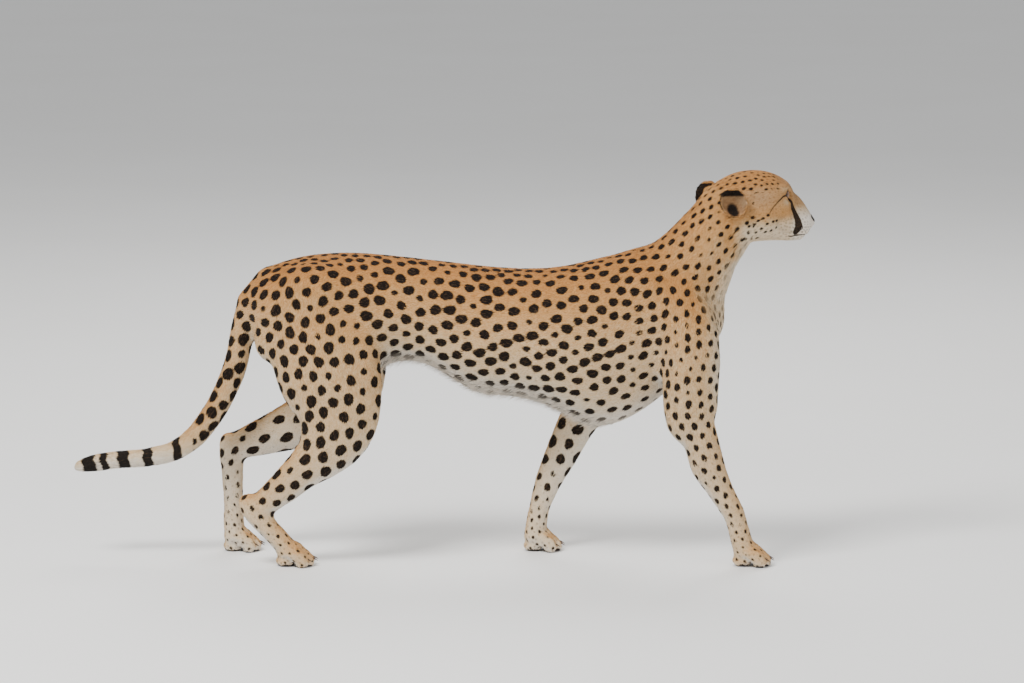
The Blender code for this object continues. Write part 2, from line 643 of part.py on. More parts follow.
def keep_largest(item):
    """Drops any loose crumb that a cut has left."""
    mesh = bmesh.new()
    mesh.from_mesh(item.data)
    groups = sorted(islands(mesh), key=len)
    for faces in groups[:-1]:
        bmesh.ops.delete(mesh, geom=faces, context="FACES")
    bmesh.ops.triangulate(mesh, faces=mesh.faces)
    mesh.to_mesh(item.data)
    mesh.free()


def fit_head(pieces):
    """Eyes in their sockets, and ears whose roots follow the skull."""
    skull = pieces["head"]
    for name, side in (("left", 1), ("right", -1)):
        boolean(skull, orbit(side))
        boolean(skull, eye(side, EYE_RADIUS + GAP))
        pieces["eye_" + name] = eye(side, EYE_RADIUS)
        pieces["ear_" + name] = ear_cup(side)
    keep_largest(skull)
    for name in ("ear_left", "ear_right"):
        boolean(pieces[name], swollen(skull, GAP * 1.3))
        keep_largest(pieces[name])


def finish(pieces):
    """Each piece gets its name, its own material and smooth shading."""
    for name, item in sorted(pieces.items()):
        item.name = name
        item.data.name = name
        colour, roughness = EYE_LOOK if name.startswith("eye") else FUR_LOOK
        item.data.materials.clear()
        item.data.materials.append(material(name + "_finish", colour, roughness))
        item.data.shade_smooth()
        item.data.set_sharp_from_angle(angle=math.radians(50))


def centred(pieces):
    """The origin goes to the middle of the bounding box, on the floor."""
    corners = [vertex.co for item in pieces.values() for vertex in item.data.vertices]
    low = Vector([min(corner[axis] for corner in corners) for axis in range(3)])
    high = Vector([max(corner[axis] for corner in corners) for axis in range(3)])
    middle = (low + high) / 2
    for item in pieces.values():
        item.data.transform(Matrix.Translation((-middle.x, -middle.y, -low.z)))


def main():
    clear_scene()
    pieces = parted(whole_body())
    fit_head(pieces)
    centred(pieces)
    finish(pieces)
    for name, item in sorted(pieces.items()):
        print(name, len(item.data.polygons))
    print("triangles", sum(len(item.data.polygons) for item in pieces.values()))


main()
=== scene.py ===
# %% [markdown]
# # A walking cheetah, life size
# The frame holds the animal's solids as packed. This lesson covers them with one smooth skin, eyes, claws,
# whiskers and a short coat of solid tufts, all in the frame's own coordinates: it faces +X, and +Z is up.

import json
import math

import bmesh
import bpy
import numpy as np
from mathutils import Matrix, Vector, bvhtree, kdtree

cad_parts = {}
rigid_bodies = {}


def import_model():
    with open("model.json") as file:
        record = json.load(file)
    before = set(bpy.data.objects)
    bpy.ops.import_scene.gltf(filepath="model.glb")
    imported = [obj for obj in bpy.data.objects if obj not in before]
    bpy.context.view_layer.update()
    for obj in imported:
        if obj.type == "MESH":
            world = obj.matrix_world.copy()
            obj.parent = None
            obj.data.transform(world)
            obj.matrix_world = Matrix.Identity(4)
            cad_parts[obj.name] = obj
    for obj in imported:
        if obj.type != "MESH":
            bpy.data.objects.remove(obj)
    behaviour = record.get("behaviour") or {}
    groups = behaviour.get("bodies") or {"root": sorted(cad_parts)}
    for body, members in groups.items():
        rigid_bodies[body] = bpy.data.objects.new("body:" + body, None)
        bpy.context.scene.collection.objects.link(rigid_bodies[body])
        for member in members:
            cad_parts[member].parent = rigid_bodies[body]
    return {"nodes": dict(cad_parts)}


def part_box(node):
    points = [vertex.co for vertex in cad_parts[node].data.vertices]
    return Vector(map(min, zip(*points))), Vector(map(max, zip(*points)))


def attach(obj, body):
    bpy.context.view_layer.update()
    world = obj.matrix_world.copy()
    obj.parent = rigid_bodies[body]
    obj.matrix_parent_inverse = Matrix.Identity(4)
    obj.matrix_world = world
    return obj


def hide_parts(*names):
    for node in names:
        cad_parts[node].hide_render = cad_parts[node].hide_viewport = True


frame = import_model()
for spare in [item for item in bpy.data.objects if item.name in ("Cube", "Light", "Camera")]:
    bpy.data.objects.remove(spare)
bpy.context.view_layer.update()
chance = np.random.default_rng(7)
FEWER = 1
MM = 0.001

# %% [markdown]
# The head has its own frame: forward u, left v and up w, from the back of the skull at the level of the jaw.
# The two eye solids give it, because their places in the head are known sizes.

# %% Head frame
EYE_RADIUS = 15.5 * MM
EYE_FORWARD, EYE_ASIDE, EYE_UP = 148.5 * MM, 26.2 * MM, 98.0 * MM


def middle_of(node):
    low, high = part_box(node)
    return (low + high) / 2


between = (middle_of("eye_left") + middle_of("eye_right")) / 2
leftward = (middle_of("eye_left") - middle_of("eye_right")).normalized()
upward = Vector((0, 0, 1))
onward = leftward.cross(upward).normalized()
turned = Matrix((onward, leftward, upward)).transposed().to_4x4()
HEAD = Matrix.Translation(between - turned.to_3x3() @ Vector((EYE_FORWARD, 0, EYE_UP))) @ turned
INTO_HEAD = np.array(HEAD.inverted())
OUT_OF_HEAD = np.array(HEAD)


def moved(points, matrix):
    return points @ matrix[:3, :3].T + matrix[:3, 3]


print("head frame", [round(value, 4) for value in HEAD.translation])

# %% [markdown]
# Lines down the middle of each limb steer everything that grows on it. Each row is a place, the limb's
# radius there, the hair's length, and the usual spot: its length along the hair, its width and its spacing.

# %% Lines of the body
LINES = {
    "trunk": (
        (0.500, 0, 0.550, 0.085, 9, 18, 15, 27),
        (0.420, 0, 0.520, 0.120, 9, 21, 17, 29),
        (0.300, 0, 0.470, 0.140, 9, 23, 19, 31),
        (0.150, 0, 0.480, 0.125, 9, 24, 20, 31),
        (0.000, 0, 0.500, 0.115, 9, 24, 21, 32),
        (-0.120, 0, 0.520, 0.110, 9, 24, 21, 32),
        (-0.230, 0, 0.530, 0.115, 9, 24, 22, 32),
        (-0.340, 0, 0.530, 0.090, 9, 23, 20, 31),
    ),
    "breast": (
        (0.605, 0.006, 0.640, 0.060, 11, 12, 8, 19),
        (0.570, 0, 0.560, 0.070, 12, 13, 9, 20),
        (0.550, 0, 0.470, 0.070, 11, 14, 10, 21),
        (0.500, 0, 0.380, 0.070, 10, 14, 11, 26),
    ),
    "belly": (
        (0.430, 0, 0.350, 0.060, 10, 17, 13, 34),
        (0.280, 0, 0.310, 0.060, 11, 22, 15, 34),
        (0.120, 0, 0.360, 0.055, 14, 22, 15, 32),
        (-0.040, 0, 0.415, 0.050, 14, 22, 15, 32),
        (-0.160, 0, 0.420, 0.050, 12, 20, 14, 33),
    ),
    "neck": (
        (0.592, 0.004, 0.735, 0.062, 9, 12, 9, 22),
        (0.545, 0, 0.665, 0.068, 10, 15, 11, 25),
        (0.490, 0, 0.600, 0.080, 10, 17, 13, 27),
        (0.430, 0, 0.560, 0.090, 10, 19, 16, 29),
    ),
    "foreleg_right": (
        (0.475, -0.060, 0.570, 0.050, 9, 18, 14, 28),
        (0.508, -0.076, 0.490, 0.060, 9, 17, 13, 27),
        (0.512, -0.085, 0.400, 0.058, 8, 17, 14, 27),
        (0.514, -0.087, 0.310, 0.048, 8, 17, 13, 27),
        (0.545, -0.085, 0.235, 0.036, 7, 16, 12, 26),
        (0.585, -0.080, 0.150, 0.026, 5, 14, 11, 24),
        (0.614, -0.076, 0.080, 0.024, 5, 9, 7, 18),
        (0.632, -0.074, 0.030, 0.026, 4, 7, 6, 18),
        (0.665, -0.074, 0.012, 0.024, 4, 5, 5, 18),
    ),
    "foreleg_left": (
        (0.465, 0.060, 0.560, 0.050, 9, 18, 14, 28),
        (0.468, 0.076, 0.490, 0.060, 9, 17, 13, 27),
        (0.400, 0.085, 0.400, 0.060, 8, 26, 24, 37),
        (0.303, 0.087, 0.310, 0.046, 8, 31, 27, 43),
        (0.258, 0.085, 0.225, 0.036, 6.5, 27, 22, 41),
        (0.222, 0.082, 0.150, 0.028, 5, 19, 15, 32),
        (0.201, 0.080, 0.080, 0.024, 5, 9, 7, 18),
        (0.193, 0.077, 0.034, 0.026, 4, 7, 6, 18),
        (0.232, 0.077, 0.012, 0.024, 4, 5, 5, 18),
    ),
    "hindleg_right": (
        (-0.290, -0.055, 0.550, 0.070, 9, 25, 21, 34),
        (-0.255, -0.070, 0.460, 0.090, 9, 25, 22, 33),
        (-0.225, -0.080, 0.370, 0.085, 9, 25, 22, 34),
        (-0.222, -0.087, 0.290, 0.070, 8, 26, 21, 36),
        (-0.275, -0.084, 0.218, 0.045, 7, 27, 22, 38),
        (-0.345, -0.080, 0.155, 0.032, 7, 23, 18, 34),
        (-0.395, -0.078, 0.122, 0.024, 5, 16, 12, 28),
        (-0.355, -0.075, 0.074, 0.022, 5, 9, 7, 20),
        (-0.324, -0.074, 0.034, 0.025, 4, 7, 6, 18),
        (-0.290, -0.074, 0.012, 0.024, 4, 5, 5, 18),
    ),
    "hindleg_left": (
        (-0.290, 0.055, 0.550, 0.070, 9, 25, 21, 34),
        (-0.250, 0.070, 0.460, 0.090, 9, 25, 22, 35),
        (-0.222, 0.080, 0.380, 0.085, 9, 27, 21, 37),
        (-0.235, 0.087, 0.310, 0.065, 8, 32, 22, 41),
        (-0.320, 0.085, 0.262, 0.048, 7, 34, 21, 41),
        (-0.420, 0.080, 0.226, 0.032, 7, 27, 18, 35),
        (-0.448, 0.079, 0.180, 0.025, 5, 15, 11, 26),
        (-0.446, 0.078, 0.100, 0.022, 5, 9, 7, 20),
        (-0.443, 0.077, 0.034, 0.025, 4, 7, 6, 18),
        (-0.408, 0.077, 0.012, 0.024, 4, 5, 5, 18),
    ),
    "tail": (
        (-0.360, 0, 0.590, 0.034, 9, 21, 18, 31),
        (-0.405, 0, 0.520, 0.028, 9, 25, 23, 32),
        (-0.428, 0.002, 0.425, 0.027, 9, 26, 23, 32),
        (-0.455, 0.004, 0.354, 0.026, 9, 26, 23, 32),
        (-0.492, 0.006, 0.291, 0.025, 10, 25, 23, 31),
        (-0.561, 0.010, 0.227, 0.023, 11, 18, 18, 28),
        (-0.622, 0.012, 0.2115, 0.0215, 12, 18, 18, 28),
        (-0.682, 0.012, 0.207, 0.0205, 13, 18, 18, 28),
        (-0.740, 0.010, 0.1985, 0.0195, 15, 18, 18, 28),
        (-0.768, 0.009, 0.192, 0.015, 16, 18, 18, 28),
    ),
}
HEAD_LINE = (  # in the head's own frame
    (0.232, 0, 0.035, 0.022, 2.6, 4, 3, 12),
    (0.205, 0, 0.035, 0.030, 3.2, 4, 3, 12),
    (0.165, 0, 0.060, 0.042, 4.5, 4, 3, 9),
    (0.115, 0, 0.080, 0.056, 6.5, 6.5, 4.5, 11),
    (0.060, 0, 0.075, 0.060, 8.0, 9, 6.5, 15),
    (0.020, 0, 0.065, 0.055, 9.0, 11, 8, 19),
)
head_rows = np.array(HEAD_LINE, float)
head_rows[:, :3] = moved(head_rows[:, :3], OUT_OF_HEAD)
lines = {name: np.array(rows, float) for name, rows in LINES.items()}
lines["head"] = head_rows
names = list(lines)
print(len(names), "lines,", sum(len(rows) - 1 for rows in lines.values()), "lengths")

# %% [markdown]
# Any place on the body takes its numbers from all the lines at once, weighted so steeply that the nearest one
# wins. Splitting the skin into regions would be simpler, but its borders would show in the coat.

# %% Numbers for any place
NEAREST = 4.0  # how sharply the nearest line wins


def guided(points):
    """For each point: the hair's direction, the row's other numbers, and the nearest line."""
    near = np.full(len(points), 1e9)
    owner = np.zeros(len(points), int)
    total = np.zeros((len(points), 8))
    weights = np.zeros(len(points))
    for index, rows in enumerate(lines.values()):
        for row in range(len(rows) - 1):
            start, end = rows[row, :3], rows[row + 1, :3]
            step = end - start
            share = np.clip((points - start) @ step / (step @ step), 0, 1)
            radius = rows[row, 3] * (1 - share) + rows[row + 1, 3] * share
            gap = np.linalg.norm(points - start - share[:, None] * step, axis=1) / radius
            closer = gap < near
            near[closer], owner[closer] = gap[closer], index
            weight = 1 / (gap**NEAREST + 1e-3)
            mixed = rows[row, 3:] * (1 - share[:, None]) + rows[row + 1, 3:] * share[:, None]
            total[:, :3] += (weight[:, None]) * (step / np.linalg.norm(step))
            total[:, 3:] += weight[:, None] * mixed
            weights += weight
    total /= weights[:, None]
    return total[:, :3], total[:, 3:], owner


# %% [markdown]
# The skin could be modelled anew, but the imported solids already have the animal's outline. So copies of them
# are joined, closed over by a fine voxel remesh and smoothed, and then drawn in by the depth of the coat.

# %% One skin
VOXEL = 2.7 * MM
OVERLAP = 0.6 * MM  # more than the gaps between the solids


def drop_selection():
    bpy.ops.object.select_all(action="DESELECT")


def only(item):
    drop_selection()
    item.select_set(True)
    bpy.context.view_layer.objects.active = item


def apply_modifier(item, kind, **settings):
    only(item)
    made = item.modifiers.new(kind.title(), kind)
    for name, value in settings.items():
        setattr(made, name, value)
    bpy.ops.object.modifier_apply(modifier=made.name)


def corners_of(item):
    places = np.empty(len(item.data.vertices) * 3, np.float32)
    item.data.vertices.foreach_get("co", places)
    return places.reshape(-1, 3).astype(float)


def normals_of(item):
    found = np.empty(len(item.data.vertices) * 3, np.float32)
    item.data.vertex_normals.foreach_get("vector", found)
    return found.reshape(-1, 3).astype(float)


def put_corners(item, places):
    item.data.vertices.foreach_set("co", places.astype(np.float32).ravel())
    item.data.update()


def weigh(item, name, values, levels=16):
    """A vertex group holding the values, in so many levels."""
    group = item.vertex_groups.new(name=name)
    steps = np.round(np.clip(values, 0, 1) * levels).astype(int)
    for step in range(levels + 1):
        chosen = np.flatnonzero(steps == step).tolist()
        group.add(chosen, step / levels, "REPLACE")


def ramp(values, start, end):
    share = np.clip((values - start) / (end - start), 0, 1)
    return share * share * (3 - 2 * share)


copies = []
for name, node in frame["nodes"].items():
    mesh = bmesh.new()
    mesh.from_mesh(node.data)
    bmesh.ops.remove_doubles(mesh, verts=mesh.verts, dist=1e-5)
    mesh.normal_update()
    places = [vertex.co + vertex.normal * OVERLAP for vertex in mesh.verts]
    for vertex, place in zip(mesh.verts, places):
        vertex.co = place
    data = bpy.data.meshes.new(name + "_copy")
    mesh.to_mesh(data)
    mesh.free()
    copies.append(bpy.data.objects.new(name + "_copy", data))
    bpy.context.scene.collection.objects.link(copies[-1])
drop_selection()
for item in copies:
    item.select_set(True)
bpy.context.view_layer.objects.active = copies[0]
bpy.ops.object.join()
skin = bpy.context.view_layer.objects.active
skin.name = skin.data.name = "skin"
apply_modifier(skin, "REMESH", mode="VOXEL", voxel_size=VOXEL, adaptivity=0.0)
print("skin", len(skin.data.vertices), "corners after the remesh")

# %% [markdown]
# The solids are flat-sided, so the skin is smoothed: widely on the trunk, little on the legs and the head,
# hardly on ears and feet. Then the body's faces are thinned, while the head keeps its fine ones.

# %% Smoothing and thinning
SMOOTH_ROUNDS = 60
SKIN_FACES = 128_000
ROUGHNESS = 0.9 * MM


def in_head(points):
    return moved(points, INTO_HEAD)


def headness(points):
    """1 on the head, falling to 0 behind the ears and down the throat."""
    at = in_head(points)
    return ramp(at[:, 0] - 0.35 * (0.06 - at[:, 2]), -0.030, 0.020) * ramp(at[:, 2], -0.045, -0.020)


def footness(points):
    return 1 - ramp(points[:, 2], 0.045, 0.090)


def earness(points):
    """1 on the cups of the ears."""
    at = in_head(points)
    off = np.linalg.norm((at - [0.022, 0, 0.095]) / [0.045, 10, 0.045], axis=1)
    return (1 - ramp(off, 0.9, 1.15)) * ramp(np.abs(at[:, 1]), 0.049, 0.054)


places = corners_of(skin)
head_share, foot_share, ear_share = headness(places), footness(places), earness(places)
slim = 1 - 0.55 * ramp(-places[:, 2], -0.40, -0.27)
slim *= 1 - 0.5 * ramp(-places[:, 0], 0.36, 0.40)
slim = slim * (1 - 0.86 * head_share)
slim = np.minimum(slim, 1 - 0.93 * np.maximum(foot_share, ear_share))
weigh(skin, "soft", slim)
apply_modifier(skin, "SMOOTH", factor=0.6, iterations=SMOOTH_ROUNDS, vertex_group="soft")
places = corners_of(skin)
fine = np.maximum(0.5, ramp(in_head(places)[:, 0], 0.120, 0.145)) * headness(places)
thin = np.minimum(1 - np.maximum(fine, earness(places)), 1 - 0.25 * footness(places))
weigh(skin, "thin", thin)
faces = [tuple(face.vertices) for face in skin.data.polygons]
smooth_tree = bvhtree.BVHTree.FromPolygons(places.tolist(), faces)
# A little roughness makes the thinning spread its faces evenly; then the corners go back to the smooth skin.
rough = np.random.default_rng(5).normal(0, ROUGHNESS, len(places)) * (thin > 0.05)
put_corners(skin, places + normals_of(skin) * rough[:, None])
share = SKIN_FACES / (2 * len(skin.data.polygons))
apply_modifier(skin, "DECIMATE", ratio=share, vertex_group="thin", vertex_group_factor=1.0)
skin.vertex_groups.clear()
rough_places = corners_of(skin).tolist()
put_corners(skin, np.array([smooth_tree.find_nearest(place)[0] for place in rough_places]))
print("skin", len(skin.data.polygons), "faces after thinning")

# %% [markdown]
# Fine work needs fine faces, so the face is divided once more, and the rims of the eyes, the nostrils and the
# mouth once again.

# %% Finer faces on the head
GAZE_ASIDE = math.radians(24)  # each eye looks out to its side
GAZE_UP = 0.05
EYE_MIDDLE, EYE_HALF = 1.8, 11.4  # the opening of the lids, in mm round the eyeball
EYE_RISE, EYE_DROP = 6.7, 5.7
EYE_REACH, LID_REACH = 30 * MM, 21 * MM
MOUTH_LINE = ((151, 16.0), (158, 12.5), (172, 10.0), (190, 11.5), (205, 12.5), (219, 11.0))  # u and w, in mm
NOSTRIL = (226.0, 7.2, 36.0)  # u, v and w, in mm
NOSE_EDGE = (  # w and half width, in mm
    (28, 2.0),
    (31, 4.5),
    (34, 9.5),
    (38, 14.5),
    (43, 16.0),
    (47, 14.8),
    (50, 10.0),
    (52, 4.0),
)


def divided(item, chosen_by):
    """Cuts every edge in two round the points that chosen_by picks."""
    mesh = bmesh.new()
    mesh.from_mesh(item.data)
    mesh.faces.ensure_lookup_table()
    middles = np.array([face.calc_center_median() for face in mesh.faces])
    picked = np.flatnonzero(chosen_by(middles))
    edges = {edge for index in picked for edge in mesh.faces[index].edges}
    bmesh.ops.subdivide_edges(mesh, edges=list(edges), cuts=1, use_grid_fill=True)
    bmesh.ops.triangulate(mesh, faces=[face for face in mesh.faces if len(face.verts) > 4])
    mesh.to_mesh(item.data)
    mesh.free()


def eye_frame(side):
    """The eyeball's middle, and its own axes as rows: outwards, up, and the way it looks."""
    middle = np.array([EYE_FORWARD, side * EYE_ASIDE, EYE_UP])
    gaze = np.array([math.cos(GAZE_ASIDE), side * math.sin(GAZE_ASIDE), GAZE_UP])
    gaze /= np.linalg.norm(gaze)
    outward = np.array([-math.sin(GAZE_ASIDE), side * math.cos(GAZE_ASIDE), 0.0])
    up = np.cross(outward, gaze) * -side
    return middle, np.array([outward, up, gaze])


def from_eye(at, side):
    """How far outside the lids' opening each point lies, in mm round the ball, its place and distance."""
    middle, axes = eye_frame(side)
    off = (at - middle) @ axes.T
    distance = np.linalg.norm(off, axis=1)
    arc = np.arccos(np.clip(off[:, 2] / distance, -1, 1)) * EYE_RADIUS / MM
    x, y = (off[:, :2] / np.maximum(np.linalg.norm(off[:, :2], axis=1), 1e-9)[:, None] * arc[:, None]).T
    t = np.clip((x - EYE_MIDDLE) / EYE_HALF, -1, 1)
    centre = -0.6 + 1.6 * t
    upper = centre + EYE_RISE * (1 - t * t) ** 0.75
    lower = centre - EYE_DROP * (1 - np.abs(t) ** 2.4)
    gap = np.maximum(y - upper, lower - y)
    past = np.hypot(np.abs(x - EYE_MIDDLE) - EYE_HALF, y - centre)
    gap = np.where(np.abs(x - EYE_MIDDLE) > EYE_HALF, past, gap)
    return np.where(distance > EYE_REACH, 60, gap), off, distance


def from_line(points, rows):
    """Distance to a line through the rows, and how far along it, from 0 to 1."""
    rows = np.array(rows, float)
    best = np.full(len(points), 1e9)
    along = np.zeros(len(points))
    for index in range(len(rows) - 1):
        start, step = rows[index], rows[index + 1] - rows[index]
        share = np.clip((points - start) @ step / (step @ step), 0, 1)
        gap = np.linalg.norm(points - start - share[:, None] * step, axis=1)
        closer = gap < best
        best[closer], along[closer] = gap[closer], ((index + share) / (len(rows) - 1))[closer]
    return best, along


def nose_gap(half):
    """How far each point lies outside the edge of the nose's leather, in mm."""
    heights, widths = np.array(NOSE_EDGE).T
    beyond = np.maximum(heights[0] - half[:, 2], half[:, 2] - heights[-1])
    gap = np.maximum(half[:, 1] - np.interp(half[:, 2], heights, widths), beyond)
    return np.maximum(gap, 215.5 - half[:, 0])


def folded(at):
    """The same points on the left half of the head, in mm."""
    return np.column_stack([at[:, 0], np.abs(at[:, 1]), at[:, 2]]) / MM


def mouth_height(u):
    return np.interp(u, *np.array(MOUTH_LINE).T)


def on_face(points):
    half = folded(in_head(points))
    eyes = np.linalg.norm(half - (158, 32, 98), axis=1) < 30
    lips = (np.abs(half[:, 2] - 13) < 8) & (half[:, 0] > 145)
    return (eyes | (half[:, 0] > 168) | lips) & (half[:, 2] > -10)


def lid_gap(at):
    """How far outside the opening of the nearer eye's lids, in mm, on the lids themselves."""
    gaps = []
    for side in (1, -1):
        gap, _, distance = from_eye(at, side)
        gaps.append(np.where(distance > LID_REACH, 60, gap))
    return np.minimum(*gaps)


def by_lids(points):
    return lid_gap(in_head(points)) < 2.2


def by_rims(points):
    at = in_head(points)
    half = folded(at)
    eyes = lid_gap(at) < 5.5
    nose = np.linalg.norm((half - NOSTRIL) / [9, 8, 8], axis=1) < 1.1
    lips = (np.abs(half[:, 2] - mouth_height(half[:, 0])) < 2.6) & (half[:, 0] > 150)
    return on_face(points) & (eyes | nose | lips)


# %% [markdown]
# The zones are divided one inside the other, and then the corners are eased towards their neighbours, which
# takes away the steps left by the remesh. The ears get their thickness back after each round.

# %% Dividing and easing
divided(skin, on_face)
divided(skin, by_rims)
divided(skin, by_lids)


def eased(places, links, weight, rounds, factor=0.5):
    """Moves each corner towards the middle of its neighbours, by its own weight."""
    first, second = links.T
    count = np.bincount(links.ravel(), minlength=len(places))[:, None]
    for _ in range(rounds):
        total = np.empty_like(places)
        for axis in range(3):
            ahead = np.bincount(first, places[second, axis], len(places))
            total[:, axis] = ahead + np.bincount(second, places[first, axis], len(places))
        places = places + factor * weight[:, None] * (total / count - places)
    return places


def links_of(item):
    found = np.empty(len(item.data.edges) * 2, np.int32)
    item.data.edges.foreach_get("vertices", found)
    return found.reshape(-1, 2)


apply_modifier(skin, "TRIANGULATE")
places, links = corners_of(skin), links_of(skin)
places = eased(places, links, headness(places) * (1 - earness(places)), 40)
for _ in range(25):  # evens out the rims of the ears, and puts back the thickness that this takes
    places = eased(places, links, earness(places), 1, 0.6)
    places = eased(places, links, earness(places), 1, -0.63)
put_corners(skin, places)
print("skin", len(skin.data.polygons), "faces with the fine ones on the face")

# %% [markdown]
# Next the skin is drawn in to leave room for the coat, and the relief that lies under a short coat is raised
# or sunk along named lines, down to the grooves between the toes. A brush would do, but lines with a height
# and a width can be corrected later.

# %% Relief of the body
COAT_DEPTH = 0.25  # of the hair's length, as it lies
RELIEF = (  # name, height in mm, half width in mm, points
    ("edge of the shoulder blade", 3.0, 16, ((0.425, -0.07, 0.625), (0.48, -0.1, 0.545), (0.52, -0.11, 0.5))),
    ("behind the shoulder", -4.0, 20, ((0.395, -0.09, 0.60), (0.425, -0.11, 0.52), (0.43, -0.115, 0.43))),
    ("back of the upper arm", -4.0, 15, ((0.455, -0.110, 0.420), (0.470, -0.115, 0.350))),
    ("muscle of the upper arm", 3.0, 18, ((0.490, -0.120, 0.460), (0.492, -0.125, 0.350))),
    ("bend of the elbow", -3.0, 10, ((0.535, -0.118, 0.300), (0.510, -0.118, 0.275))),
    ("muscle of the forearm", 2.0, 10, ((0.530, -0.115, 0.270), (0.560, -0.108, 0.200))),
    ("fold of the flank", 4.5, 14, ((-0.115, -0.085, 0.53), (-0.105, -0.095, 0.45), (-0.125, -0.09, 0.385))),
    ("hollow before the haunch", -5.0, 26, ((-0.065, -0.080, 0.560), (-0.050, -0.080, 0.470))),
    ("front of the thigh", 3.0, 20, ((-0.160, -0.110, 0.520), (-0.140, -0.125, 0.400))),
    ("crease of the thigh", -4.0, 15, ((-0.30, -0.11, 0.52), (-0.292, -0.125, 0.42), (-0.255, -0.12, 0.33))),
    ("hip bone", 3.5, 20, ((-0.150, -0.062, 0.625), (-0.185, -0.080, 0.600))),
    ("tendon of the heel", -3.5, 9, ((-0.330, -0.105, 0.215), (-0.375, -0.100, 0.155))),
    ("edge of the ribs", 2.2, 14, ((0.120, -0.100, 0.500), (0.060, -0.090, 0.430), (0.150, -0.075, 0.350))),
    ("furrow of the neck", -2.5, 15, ((0.595, -0.055, 0.69), (0.545, -0.07, 0.61), (0.535, -0.075, 0.57))),
    ("cord of the neck", 2.0, 13, ((0.575, -0.055, 0.700), (0.520, -0.070, 0.620))),
)
FAR_SHIFT = {  # the left limbs stand elsewhere, so their relief moves with them, or is left out where None
    "back of the upper arm": (-0.110, 0.235, 0.020),
    "muscle of the upper arm": (-0.115, 0.240, 0.020),
    "bend of the elbow": None,
    "muscle of the forearm": None,
    "tendon of the heel": None,
}

FOOT_PLACES = ((0.622, -0.073), (0.187, 0.077), (-0.329, -0.0745), (-0.4475, 0.078))
TOE_ASIDE = (-21, -8, 8, 21)  # middles of the toes, in mm
TOE_GROOVE = ((0.030, 0.046), (0.052, 0.034), (0.070, 0.010))  # ahead of the foot's place, and up
TOE_DEPTH, TOE_WIDTH = 4.0 * MM, 3.6 * MM
SPINE_RISE, SPINE_WIDTH = 1.5 * MM, 0.016
RIB_RISE, RIB_SPACING, RIB_SLANT = 1.1 * MM, 0.030, 0.25

links = links_of(skin)
places, normals = corners_of(skin), normals_of(skin)
_, growth, _ = guided(places)
hair_length = growth[:, 1] * MM
depth = COAT_DEPTH * hair_length * (1 - 0.6 * headness(places)) * (1 - 0.5 * footness(places))
depth *= 1 - 0.45 * earness(places)
depth = np.maximum(depth, 0.7 * MM) * ramp(places[:, 2], 0.0, 0.012)
moves = -depth
for name, height, width, rows in RELIEF:
    rows = np.array(rows)
    for side in (-1, 1):
        shifted = rows * [1, -side, 1]
        if side == 1 and name in FAR_SHIFT:
            if FAR_SHIFT[name] is None:
                continue
            shifted = rows + FAR_SHIFT[name]
        gap, _ = from_line(places, shifted)
        moves = moves + height * MM * np.exp(-((gap / (width * MM)) ** 2))
for x, y in FOOT_PLACES:
    for first, second in zip(TOE_ASIDE, TOE_ASIDE[1:]):
        aside = y + (first + second) / 2 * MM
        gap, _ = from_line(places, [(x + ahead, aside, up) for ahead, up in TOE_GROOVE])
        moves = moves - TOE_DEPTH * np.exp(-((gap / TOE_WIDTH) ** 2))
spine = np.exp(-((places[:, 1] / SPINE_WIDTH) ** 2)) * (normals[:, 2] > 0.6)
spine *= ramp(places[:, 0], -0.34, -0.20) * (1 - ramp(places[:, 0], 0.30, 0.42))
moves = moves + SPINE_RISE * spine
rib_wave = 0.5 + 0.5 * np.cos((places[:, 0] - RIB_SLANT * places[:, 2]) / RIB_SPACING * math.tau)
rib_room = ramp(places[:, 0], 0.09, 0.15) * (1 - ramp(places[:, 0], 0.33, 0.38))
rib_room *= ramp(places[:, 2], 0.34, 0.42) * (1 - ramp(places[:, 2], 0.52, 0.58))
moves = moves + RIB_RISE * rib_wave * rib_room
places = places + normals * moves[:, None]
places = eased(places, links, np.where(headness(places) + footness(places) > 0.1, 0.0, 1.0), 2)
put_corners(skin, places)
print("skin drawn in by", round(float(depth.min() / MM), 1), "to", round(float(depth.max() / MM), 1), "mm")

# %% [markdown]
# The face is shaped in the head's frame. Each lid is the skin pushed onto a shell just over the eyeball, up
# to an almond opening, and inside the opening the skin sinks out of sight behind the eye.

# %% The face
LID = 1.2 * MM
SUNK = 2.2 * MM
RECEDING = 5.5 * MM  # how far the lips and the chin lie behind the nose


